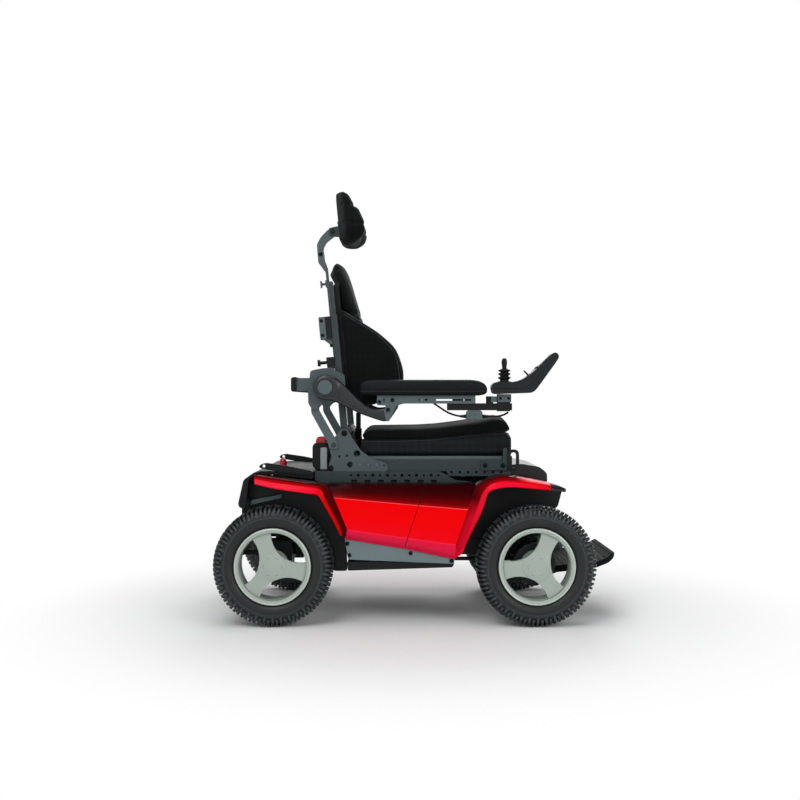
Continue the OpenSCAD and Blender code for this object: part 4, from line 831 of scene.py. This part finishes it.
dressed = {node: dress(node, finish, radius) for node, (finish, radius) in HARD.items()}
print("hard parts dressed:", len(dressed))


# %% Parts in two finishes
def middle(points):
    """The middle of a solid's box."""
    return Vector([(min(p[i] for p in points) + max(p[i] for p in points)) / 2 for i in range(3)])


def on_stop(i, points):
    """Is this solid the recline stop in its bellows?"""
    return abs(middle(points).y) < 0.01 and span(points, 2) > 0.1


def on_stay(i, points):
    """Is this solid a fender's stay?"""
    return span(points, 2) < 0.06 and span(points, 1) < 0.02


dress("recline_drive", graphite_coat, 1, pick=lambda i, points: not on_stop(i, points))
dress("recline_drive", soft_rubber, 1, pick=on_stop, name="recline_drive.stop")
dress("arch_liners", black_abs, 1, pick=lambda i, points: not on_stay(i, points))
dress("arch_liners", grey_coat, 2, pick=on_stay, name="arch_liners.stay")
print("parts in two finishes: 2")


# %% [markdown]
# ## Castings and canes
# The arms are castings and the canes are bent tubes, and neither has any flat edge left: castings
# are fettled, which means ground round by hand. A bevel can't do that where faces meet at small
# angles, so these are covered with an even skin of small faces, and that skin is relaxed.

# %% Arms and canes
def relax(obj, rounds):
    """Even out a mesh's points a little."""
    bm = bmesh.new()
    bm.from_mesh(obj.data)
    for _ in range(rounds):
        bmesh.ops.smooth_vert(bm, verts=bm.verts, factor=0.5, use_axis_x=True, use_axis_y=True,
                              use_axis_z=True)
    bm.to_mesh(obj.data)
    bm.free()


def evaluated(obj):
    """The object as its modifiers leave it."""
    return obj.evaluated_get(bpy.context.evaluated_depsgraph_get())


def remeshed(obj, voxel_mm):
    """Give an object one even skin of small faces."""
    even = obj.modifiers.new("even_mesh", "REMESH")
    even.mode, even.voxel_size = "VOXEL", voxel_mm / 1000
    bpy.context.view_layer.update()
    obj.data = bpy.data.meshes.new_from_object(evaluated(obj))
    obj.modifiers.clear()
    obj.data.shade_smooth()


def fettled(node, finish, voxel_mm, rounds, pick=None):
    """A copy of a casting or bent tube with all its edges ground well round."""
    obj = copied(node, finish, pick)
    remeshed(obj, voxel_mm)
    relax(obj, rounds)


fettled("back_canes", graphite_coat, 3, 4)
for node in ("right_arm", "left_arm"):
    fettled(node, arm_lacquer, 3.5, 9, pick=lambda i, points: i == 0)
    dress(node, grey_coat, 1.5, pick=lambda i, points: i > 0, name=node + ".hub_cap")
print("arms: 2, pairs of canes: 1")


# %% [markdown]
# ## Screws
# Button-head screws hold the panels, plates and brackets. Each is turned with its socket, because
# the dark spot of the socket is what makes a head read as a screw even when it is 4 pixels wide.
# Places on the back are given along its canes, which lean by some degrees.

# %% Screws
PIVOT_X, PIVOT_Z, LEAN = -0.226, 0.567, math.radians(5.3)


def back_point(x, y, z):
    """A point of the back, given along its canes, in the chair's frame."""
    c, s = math.cos(LEAN), math.sin(LEAN)
    return Vector((PIVOT_X + x * c - z * s, y, PIVOT_Z + x * s + z * c))


def heads(name, spots, node, replaces=False):
    """Button-head screws on the flanks at (x, y, z, side, radius, height)."""
    bm = bmesh.new()
    for x, y, z, side, r, h in spots:
        head = [(0, 0), (r, 0), (r, 0.5 * h), (0.85 * r, 0.88 * h), (0.62 * r, h), (0.46 * r, h),
                (0.42 * r, 0.4 * h), (0, 0.4 * h)]
        revolve(bm, head, 18, outward(x, y, z, side))
    piece_from(bm, name, node, black_oxide, replaces)


spots = []
for points, _ in solids("bolts"):
    spot, thick = middle(points), span(points, 1)
    side = 1 if spot.y > 0 else -1
    spots.append((spot.x, abs(spot.y) - thick / 2, spot.z, side, span(points, 0) / 2,
                  max(thick, 0.003)))
heads("bolts.screws", spots, "bolts", True)
for node, depth, spot in (("headrest_link", 0.0148, back_point(-0.035, 0, 0.577)),
                          ("headrest_pad", 0.0140, back_point(0.010, 0, 0.647))):
    heads(node + ".screws", [(spot.x, depth, spot.z, s, 0.0068, 0.003) for s in (-1, 1)], node)
print("screws:", len(spots) + 4)

# %% [markdown]
# ## Plugs and small plates
# The seat's side plates have grey plugs in three of their holes, the seat rail's top edge is the
# pan's folded flange, the crossbar has a grey cap at each end and the lamp posts carry reflectors.
# These are thin plates over the solids, drawn from an outline, so that the solids can stay simple.

# %% Plugs and flanges
DECK_Z, SEAT_FRONT, PAN_Z = 0.452, 0.283, 0.497
PLUG = [(0.0074, 0), (0.0073, 0.0026), (0.0066, 0.0034), (0.0040, 0.0037), (0, 0.0037)]
FLANGE = [(0.2150, PAN_Z + 0.0004), (0.2335, PAN_Z + 0.0004), (0.2350, PAN_Z - 0.0008),
          (0.2352, PAN_Z - 0.0094), (0.2345, PAN_Z - 0.0104)]

bm = bmesh.new()
for side, _ in FLANKS:
    for dx in (0.046, 0.072, 0.098):
        revolve(bm, PLUG, 24, outward(PIVOT_X + dx, 0.2362, DECK_Z + 0.020, side))
piece_from(bm, "seat_side_plates.plugs", "seat_side_plates", grey_coat)
for side, flank in FLANKS:
    lines = [[Vector((x, side * y, z)) for y, z in FLANGE]
             for x in (PIVOT_X + 0.022, 0.0, SEAT_FRONT - 0.032)]
    painted_lights = [[(0, 0, 0)] * len(FLANGE)] * len(lines)
    skin(f"seat_frame.flange_{flank}", lines, painted_lights, "seat_frame", grey_coat, 1.0, side)
print("plugs: 6, flanges: 2")


# %% Caps and reflectors
def in_chair(x, y, z):
    """A point in the chair's own frame."""
    return Vector((x, y, z))


def plate(name, outline, y0, y1, node, finish, radius_mm, sides=(-1, 1), place=in_chair):
    """A flat plate on each side, from an outline in X and Z between two depths."""
    bm = bmesh.new()
    for side in sides:
        prism(bm, *([place(x, side * y, z) for x, z in outline] for y in (y0, y1)))
    rounded(piece_from(bm, name, node, finish), radius_mm)


CAP = [(-0.0465, 0.292), (-0.0465, 0.352), (-0.042, 0.3555), (-0.0275, 0.3555), (-0.0275, 0.2885),
       (-0.042, 0.2885)]
FILM = [(-0.301, 0.455), (-0.301, 0.519), (-0.299, 0.522), (-0.283, 0.522), (-0.281, 0.519),
        (-0.281, 0.455)]
plate("back_crossbars.end_caps", CAP, 0.2318, 0.2345, "back_crossbars", grey_coat, 0.6,
      place=back_point)
spots = []
for z in (0.300, 0.344):
    spot = back_point(-0.0385, 0, z)
    spots += [(spot.x, 0.2344, spot.z, s, 0.0052, 0.0025) for s in (-1, 1)]
heads("back_crossbars.screws", spots, "back_crossbars")
plate("tail_light_posts.reflectors", FILM, 0.1992, 0.2012, "tail_light_posts", reflector, 0.5)
print("end caps: 2, reflectors: 2")

# %% [markdown]
# ## Webs, grip and arm screws
# The slotted rails of base and seat are closed behind by dark webs, a painted shade that stops
# light from showing through their holes; the back's shell turns a flange round to its canes. A
# soft grip runs along the push bar between the arm carriers, and each arm bracket shows three
# screws. All are measured from the hub on which the armrest turns, or from the back's pivot.

# %% Webs, grip and arm screws
LINK = 0.169
HUB_X = PIVOT_X - 0.039 - LINK * math.sin(LEAN)
HUB_Z = PIVOT_Z - 0.031 + LINK * math.cos(LEAN)
PAD_X0, PAD_Z0 = HUB_X + 0.103, HUB_Z - 0.023
RAIL_SHADE_WEB = [(PIVOT_X + 0.005, DECK_Z - 0.038), (PIVOT_X + 0.005, DECK_Z - 0.004),
            (PIVOT_X + 0.280, DECK_Z - 0.004), (PIVOT_X + 0.315, DECK_Z - 0.027),
            (PIVOT_X + 0.315, DECK_Z - 0.038)]
SEAT_SHADE_WEB = [(0.082, DECK_Z - 0.012), (0.082, DECK_Z + 0.018), (0.262, DECK_Z + 0.018),
            (0.262, DECK_Z - 0.012)]
SHELL_EDGE = [(0.002, 0.095), (0.002, 0.430), (0.006, 0.452), (0.012, 0.459), (0.022, 0.459),
              (0.022, 0.095)]
GRIP = [(HUB_X + x, HUB_Z + z) for x, z in (
    (-0.1046, -0.0066), (-0.1046, 0.0256), (-0.0986, 0.0316), (-0.0884, 0.0316),
    (-0.0884, -0.0126), (-0.0986, -0.0126))]
ARM_SCREWS = ((0.008, 0.005, 0.0048), (0.033, -0.018, 0.0058), (0.046, 0.011, 0.0058))

# dark sheets behind the rails' holes, as painted shade
plate("base_rails.shade_webs", RAIL_SHADE_WEB, 0.2195, 0.2215, "base_rails", black_coat, 0.5)
plate("seat_frame.shade_webs", SEAT_SHADE_WEB, 0.2122, 0.2142, "seat_frame", black_coat, 0.5)
plate("back_shell.flanges", SHELL_EDGE, 0.1925, 0.1958, "back_shell", black_abs, 0.8,
      place=back_point)
plate("arm_carriers.grip", GRIP, -0.2636, 0.2636, "arm_carriers", soft_rubber, 2, sides=(1,))
for side, flank in FLANKS:
    node = flank + "_arm_bracket"
    heads(node + ".screws", [(PAD_X0 + 0.051 + x, 0.2935, PAD_Z0 - 0.025 + z, side, r, 0.003)
                             for x, z, r in ARM_SCREWS], node)
print("webs: 4, shell flanges: 2, grip: 1, arm screws: 6")

# %% [markdown]
# ## Joystick
# The control pod is a two-part moulding on a short rail. Its stick stands in a pleated rubber
# bellows, its raised end holds a dark display with a row of keys under it, and a grey plate with
# two screws joins it to the rail. Stick and bellows are round, so they are turned; the keys are
# low blocks set square to the raised face.

# %% Stick and bellows
ARM_Y, POD_X, POD_Z = 0.275, PAD_X0 + 0.433, HUB_Z - 0.020
STICK_X, STICK_Z = POD_X - 0.002, POD_Z + 0.028
PLEATS = [(0.0135, 0.0105), (0.0125, 0.0145), (0.0190, 0.0198), (0.0196, 0.0210), (0.0190, 0.0220),
          (0.0122, 0.0258), (0.0122, 0.0268), (0.0186, 0.0312), (0.0192, 0.0322), (0.0186, 0.0332),
          (0.0118, 0.0366), (0.0118, 0.0376), (0.0182, 0.0416), (0.0187, 0.0426), (0.0180, 0.0436),
          (0.0105, 0.0470), (0.0085, 0.0485), (0.0072, 0.0486)]
KNOB = [(0.0050, -0.0060), (0.0050, 0.0480), (0.0066, 0.0484), (0.0069, 0.0500), (0.0068, 0.0530),
        (0.0073, 0.0570), (0.0081, 0.0630), (0.0084, 0.0670), (0.0080, 0.0715), (0.0066, 0.0765),
        (0.0042, 0.0790), (0, 0.0797)]

for node, profile in (("joystick_boot", PLEATS), ("joystick_stick", KNOB)):
    bm = bmesh.new()
    revolve(bm, profile, 40, Matrix.Translation((STICK_X, -ARM_Y, STICK_Z)))
    piece_from(bm, node + ".turned", node, soft_rubber, True)
print("stick and bellows at", round(STICK_X, 4), round(STICK_Z, 4))

# %% Mount plates under the pod
# from and to along X, from and to along Z, from and to in depth
MOUNTS = {"mount": (-0.0225, 0.0165, -0.0238, -0.0008, 0.2912, 0.2932),
          "angle": (-0.0450, -0.0232, -0.0240, -0.0065, 0.2832, 0.2852)}

for name, (x0, x1, z0, z1, y0, y1) in MOUNTS.items():
    outline = [(POD_X + x, POD_Z + z) for x, z in ((x0, z0), (x0, z1), (x1, z1), (x1, z0))]
    plate("joystick_rail." + name, outline, y0, y1, "joystick_rail", grey_coat, 0.6, sides=(-1,))
heads("joystick_rail.screws", [(POD_X + x, 0.2930, POD_Z - 0.0125, -1, 0.0042, 0.0022)
                               for x in (-0.015, 0.009)], "joystick_rail")
print("pod mount: 2 plates and 2 screws")

# %% Keys on the pod's raised face
KEY_SIDES = 24


def pod_face(along, across, up):
    """A point over the pod's raised face: along it, across it and above it."""
    start = Vector((POD_X + 0.082, 0, POD_Z + 0.0680))
    way = Vector((0.054, 0, 0.0525)).normalized()
    spot = start + way * along + Vector((-way.z, 0, way.x)) * up
    return Vector((spot.x, -ARM_Y + across, spot.z))


def tile(bm, along, across, half_along, half_across, low, high, corner):
    """A low key with rounded corners, drawn in at the top."""
    rows = []
    for up, inset in ((low, 0), (high - 0.0006, 0.0001), (high, 0.0008)):
        row = []
        for i in range(KEY_SIDES):
            a = 2 * math.pi * (i + 0.5) / KEY_SIDES
            c, s = math.cos(a), math.sin(a)
            u = math.copysign(half_along - corner, c) + (corner - inset) * c
            v = math.copysign(half_across - corner, s) + (corner - inset) * s
            row.append(bm.verts.new(pod_face(along + u, across + v, up)))
        rows.append(row)
    for one, two in zip(rows, rows[1:]):
        for i in range(KEY_SIDES):
            j = (i + 1) % KEY_SIDES
            bm.faces.new([one[i], one[j], two[j], two[i]])
    bm.faces.new(rows[-1])


# %% Display, keys and split line
POD_HALF = 0.033
SPLIT = [(-0.0405, 0.0165), (0.000, 0.0170), (0.040, 0.0175), (0.066, 0.0240), (0.090, 0.0460),
         (0.118, 0.0800), (0.146, 0.1130)]

bm = bmesh.new()
tile(bm, 0.046, 0, 0.021, 0.026, -0.003, 0.0012, 0.004)
piece_from(bm, "joystick_pod.display", "joystick_pod", screen_glass)
bm = bmesh.new()
for across in (-0.020, -0.010, 0, 0.010, 0.020):
    tile(bm, 0.016, across, 0.0045, 0.0040, -0.003, 0.0022, 0.003)
piece_from(bm, "joystick_pod.keys", "joystick_pod", soft_rubber)
lines = [[(POD_X + p.x, -ARM_Y + s * (POD_HALF - 0.0003), POD_Z + p.z)
          for p in smooth_line([(x, 0, z) for x, z in SPLIT], 5)] for s in (-1, 1)]
pipe("joystick_pod.split_line", lines, 0.7, "joystick_pod", black_oxide)
print("pod: display, 5 keys and a split line")

# %% [markdown]
# ## Joystick lead
# The lead leaves the underside of the pod's mount, runs into a grey in-line connector with a
# ribbed strain relief at each end, and goes on in a hanging bow up behind the arm bracket. Its two
# lengths follow the same points as the drawing of the part, curved between them. It isn't
# simulated, since both ends ride on one armrest and the bow is seen in the photo.

# %% Connector and strain reliefs
LEAD_Z, PLUG_X, PLUG_LONG = PAD_Z0 - 0.063, PAD_X0 + 0.317, 0.048
SHELL = [(0.0, -0.0085), (0.0, 0.0135), (0.006, 0.0177), (0.042, 0.0177), (PLUG_LONG, 0.0135),
         (PLUG_LONG, -0.0085)]
RIDGE = [(0.007, 0.0035), (0.007, 0.0060), (0.041, 0.0060), (0.041, 0.0035)]
RIBS = [(0.0064, 0.0), (0.0064, 0.0015)]
for i in range(5):
    r, h = 0.0062 - 0.00045 * i, 0.0025 + 0.0028 * i
    RIBS += [(r - 0.0014, h), (r - 0.0014, h + 0.0006), (r, h + 0.0010), (r, h + 0.0020)]
RIBS += [(0.0031, 0.0178)]

bm = bmesh.new()
for outline, half in ((SHELL, 0.0108), (RIDGE, 0.0118)):
    prism(bm, *([(PLUG_X + x, -ARM_Y + y, LEAD_Z + z) for x, z in outline] for y in (-half, half)))
connector = piece_from(bm, "joystick_lead.connector", "joystick_lead", grey_coat, True)
plug_pieces = [rounded(connector, 1.2)]
for end, x, turn in (("front", PLUG_X + PLUG_LONG, math.pi / 2), ("rear", PLUG_X, -math.pi / 2)):
    bm = bmesh.new()
    revolve(bm, RIBS, 24, Matrix.Translation((x, -ARM_Y, LEAD_Z)) @ Matrix.Rotation(turn, 4, "Y"))
    plug_pieces.append(piece_from(bm, "joystick_lead.relief_" + end, "joystick_lead", soft_rubber))
print("connector with", len(plug_pieces) - 1, "strain reliefs")

# %% Lead
LEAD_D = 0.006
POD_RUN = [(POD_X + 0.010, 0.0122), (POD_X + 0.003, 0.0080), (POD_X - 0.006, 0.0038),
           (POD_X - 0.017, 0.0010), (POD_X - 0.028, 0.0), (PLUG_X + PLUG_LONG, 0.0)]
ARM_RUN = [(PLUG_X - x, z) for x, z in (
    (0.0, 0.0), (0.018, 0.0006), (0.036, 0.0043), (0.054, 0.0112), (0.073, 0.0227),
    (0.091, 0.0352), (0.108, 0.0457), (0.125, 0.0524), (0.143, 0.0544), (0.153, 0.0544))]

for name, run, steps, end, pieces in (
        ("joystick_lead.pod_run", POD_RUN, 4, "connector", plug_pieces),
        ("joystick_lead.arm_run", ARM_RUN, 3, "object", [])):
    line = smooth_line([(x, -ARM_Y, LEAD_Z + z) for x, z in run], steps)
    cord = pipe(name, [line], LEAD_D * 500, "joystick_lead", soft_rubber, replaces=True)

# %% [markdown]
# ## Footplates
# The footplates are moulded with rows of small round studs that keep a shoe from slipping. Each
# stud is a low dome set where a ray from above meets the tread, so that the rows follow the
# plate's bend without its shape being written down twice.

# %% Studs on the footplates
STUD = [(0.0036, -0.0006), (0.0033, 0.0009), (0.0020, 0.0016), (0, 0.0018)]
STUD_ROWS, STUDS_ACROSS, STUD_PITCH, STUD_START, EDGE_CLEAR = 11, 9, 0.0165, 0.030, 0.006
LEAST_UP = 0.55

for node in ("right_footplate", "left_footplate"):
    low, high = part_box(node)
    bm, count = bmesh.new(), 0
    for i in range(STUD_ROWS):
        x = low[0] + STUD_START + STUD_PITCH * i
        for j in range(STUDS_ACROSS):
            share = (j + 0.5 + 0.25 * (-1) ** i) / STUDS_ACROSS
            y = low[1] + (high[1] - low[1]) * share
            hit, spot, normal, _ = dressed[node].ray_cast((x, y, high[2] + 0.1), (0, 0, -1))
            if hit and normal.z > LEAST_UP and x < high[0] - EDGE_CLEAR:
                lean = Vector((0, 0, 1)).rotation_difference(normal).to_matrix().to_4x4()
                revolve(bm, STUD, 10, Matrix.Translation(spot) @ lean)
                count += 1
    piece_from(bm, node + ".studs", node, soft_rubber)
    print(node, "studs:", count)


# %% [markdown]
# ## Cushions
# A cushion is a fabric cover pulled tight over foam: its faces crown, its sides draw in between
# the corners, and each seam leaves a fine valley, often with a piping in it. Every one starts from
# a slightly small copy of its solid, is remeshed evenly and is swollen by Blender's cloth
# pressure, which finds the crown by itself; no point may move further than a cap, so that the size
# holds.

# %% Stuffing a cover
PRESSURE, CLOTH_FRAMES = 4.0, 20


def stuffed(name, parts, node, finish, shrink_mm, voxel_mm, cap_mm, rounds=2):
    """Blow a cover up with cloth pressure from a slightly small copy of its solids."""
    mesh = joined(name, parts)
    for vert, n in zip(mesh.vertices, [v.normal.copy() for v in mesh.vertices]):
        vert.co -= n * shrink_mm / 1000
    obj = add_piece(name, mesh, node, finish, True)
    remeshed(obj, voxel_mm)
    relax(obj, 1)
    start = [v.co.copy() for v in obj.data.vertices]
    cloth = obj.modifiers.new("stuffing", "CLOTH")
    cloth.settings.use_pressure, cloth.settings.uniform_pressure_force = True, PRESSURE
    cloth.settings.effector_weights.gravity = 0
    cloth.settings.quality = 4
    cloth.collision_settings.use_collision = False
    for step in range(1, CLOTH_FRAMES + 1):
        bpy.context.scene.frame_set(step)
    moved = [v.co.copy() for v in evaluated(obj).data.vertices]
    obj.modifiers.clear()
    bpy.context.scene.frame_set(1)
    for vert, old, new in zip(obj.data.vertices, start, moved):
        way = new - old
        vert.co = old + way * min(1, cap_mm / 1000 / max(way.length, 1e-9))
    relax(obj, rounds)
    obj.data.shade_smooth()
    return obj


# %% [markdown]
# ## Seams and piping
# A seam is pressed into the finished cover: points near its line are pulled in, less with
# distance. A piping has to lie on a cover whose shape only the cloth knows, so its line is found
# by rays that are sent in from outside, all round the cushion.

# %% Seams, piping and rounding
def sewn(obj, distance, depth_mm, width_mm):
    """Pull the cover in along a seam, given each point's distance from it."""
    normals = [v.normal.copy() for v in obj.data.vertices]
    for vert, n in zip(obj.data.vertices, normals):
        d = distance(vert.co) * 1000 / width_mm
        if abs(d) < 3:
            vert.co -= n * depth_mm / 1000 * math.exp(-d * d)
    obj.data.update()


def cling(obj, starts, towards, lift_mm):
    """Where rays from some points towards others first meet a cover, lifted off it a little."""
    line = []
    for start, end in zip(starts, towards):
        ray = (Vector(end) - Vector(start)).normalized()
        hit, spot, _, _ = obj.ray_cast(Vector(start), ray)
        if hit:
            line.append(spot - ray * lift_mm / 1000)
    return line


def girdled(obj, node, height, count, lift_mm):
    """A line round a cover, at the height that a rule gives for each X."""
    low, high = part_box(node)
    centre, half = [[(b + s * a) / 2 for a, b in zip(low, high)] for s in (1, -1)]
    starts, towards = [], []
    for i in range(count):
        c, s = math.cos(2 * math.pi * i / count), math.sin(2 * math.pi * i / count)
        # a square with round corners, outside the cover and inside it
        u, v = math.copysign(abs(c) ** 0.25, c), math.copysign(abs(s) ** 0.25, s)
        z = height(min(max(centre[0] + 1.2 * half[0] * u, low[0]), high[0]))
        for wide, points in ((1.2, starts), (0.7, towards)):
            points.append((centre[0] + wide * half[0] * u, centre[1] + wide * half[1] * v, z))
    return cling(obj, starts, towards, lift_mm)


def softened(obj):
    """One subdivision, so that seams and crowns are round."""
    fine = obj.modifiers.new("round", "SUBSURF")
    fine.levels, fine.render_levels = 1, 1


# %% [markdown]
# ## Seat
# The seat is a contoured cushion on a firm base of coated cloth; the joint between them rises to
# the front. The upper cushion has been sat in and is settled at the top. Both are blown up on
# their own, so that they bulge against each other at the joint, and a grey piping runs round the
# base below it.

# %% Seat cushion and its base
SEAT_SEAM = [(-0.180, 0.5452), (0.0, 0.5464), (0.0616, 0.5504), (0.1256, 0.5554), (0.19, 0.5613),
             (0.2353, 0.5650), (0.275, 0.5668)]
SETTLED, SETTLE_FROM, SETTLE_OVER = 0.007, 0.010, 0.020
SEAM_OFF, PIPING_DOWN = 0.008, 0.0045


def seam_z(x):
    """The height of the seat's joint at a place along the chair."""
    for (x0, z0), (x1, z1) in zip(SEAT_SEAM, SEAT_SEAM[1:]):
        if x <= x1:
            return z0 + (z1 - z0) * max(x - x0, 0) / (x1 - x0)
    return SEAT_SEAM[-1][1]


seat = stuffed("seat_cushion.cover", solids("seat_cushion"), "seat_cushion", seat_fabric,
               1, 5, 2.5, rounds=1)
base = stuffed("seat_cushion_base.cover", solids("seat_cushion_base"), "seat_cushion_base",
               base_fabric, 0, 5, 1.5, rounds=0)
for vert in seat.data.vertices:
    above = vert.co.z - seam_z(vert.co.x) - SETTLE_FROM
    vert.co.z -= SETTLED * min(max(above / SETTLE_OVER, 0), 1)
sewn(seat, lambda p: p.z - seam_z(p.x) - SEAM_OFF, 1.5, 4)
sewn(base, lambda p: p.z - seam_z(p.x) + SEAM_OFF, 1.2, 4)
line = girdled(base, "seat_cushion_base", lambda x: seam_z(x) - PIPING_DOWN, 180, 0.5)
pipe("seat_cushion_base.piping", [line], 2.0, "seat_cushion_base", piping_tape, cyclic=True)
softened(seat)
print("seat:", len(seat.data.vertices), "and", len(base.data.vertices), "points, piping", len(line))


# %% [markdown]
# ## Back and headrest
# The back has a middle cushion with two sewn channels, and a side wing on each flank with piping
# just inside its edge. The headrest is sewn in three rolls: a neck roll, a middle and a thin upper
# roll. As the back leans, seams are given along its canes, and only the side that faces the sitter
# is sewn.

# %% Back cushion and wings
UNSEWN = 1
WING_EDGE = [(0.030, 0.358), (0.080, 0.3235), (0.126, 0.287), (0.160, 0.247), (0.1745, 0.222),
             (0.1795, 0.190), (0.1810, 0.150), (0.1785, 0.118)]


def back_local(p):
    """A point's place along and across the back's lean."""
    c, s, x, z = math.cos(LEAN), math.sin(LEAN), p.x - PIVOT_X, p.z - PIVOT_Z
    return Vector((x * c + z * s, p.y, z * c - x * s))


def channelled(obj, heights, front, slope, from_x, depth_mm, width_mm):
    """Sew channels across a pad of the back, from an X on; they may slope from its front down."""
    for height in heights:
        def distance(p):
            place = back_local(p)
            return place.z - height - slope * (front - place.x) if place.x > from_x else UNSEWN
        sewn(obj, distance, depth_mm, width_mm)
    softened(obj)


middle_pad = stuffed("back_cushion.cover", solids("back_cushion"), "back_cushion", seat_fabric,
                     2.5, 6, 7)
channelled(middle_pad, (0.215, 0.365), 0, 0, 0.03, 4, 6)
edge = smooth_line([(x, 0, z) for x, z in WING_EDGE], 8)
for side, flank in FLANKS:
    parts = [part for part in solids("back_wings") if middle(part[0]).y * side > 0]
    wing = stuffed(f"back_wings.{flank}", parts, "back_wings", seat_fabric, 2, 5, 4)
    line = cling(wing, [back_point(p.x, side * 0.30, p.z) for p in edge],
                 [back_point(p.x, 0, p.z) for p in edge], 0.3)
    pipe(f"back_wings.{flank}_piping", [line], 1.6, "back_wings", piping_tape)
    softened(wing)
print("back:", len(middle_pad.data.vertices), "points")

# %% Headrest
pad = stuffed("headrest_pad.cover", solids("headrest_pad")[:1], "headrest_pad", seat_fabric,
              1.5, 4, 4)
channelled(pad, (0.648, 0.706), 0.105, 0.25, 0.05, 3.5, 4)
dress("headrest_pad", graphite_coat, 1, pick=lambda i, points: i > 0, name="headrest_pad.hardware")
print("headrest:", len(pad.data.vertices), "points")

# %% [markdown]
# ## Arm pads
# The arm pads are moulded in one piece of self-skinning foam on a plate: a long soft block with a
# parting line a little above its foot, where the two halves of the mould met; it is pressed in and
# carries a thin grey line as its painted highlight. They are firmer than the cushions, so the cap
# on their swelling is small.

# %% Arm pads
PARTING_Z = PAD_Z0 + 0.0115

for node in ("right_arm_pad", "left_arm_pad"):
    arm_pad = stuffed(node + ".cover", solids(node), node, pu_skin, 0, 4, 1.5)
    sewn(arm_pad, lambda p: p.z - PARTING_Z, 0.8, 3)
    line = girdled(arm_pad, node, lambda x: PARTING_Z, 140, 0.1)
    # the parting line is drawn as a grey line, as its painted highlight
    pipe(node + ".parting_line_highlight", [line], 1.1, node, piping_tape, cyclic=True)
    softened(arm_pad)
print("arm pads: 2")
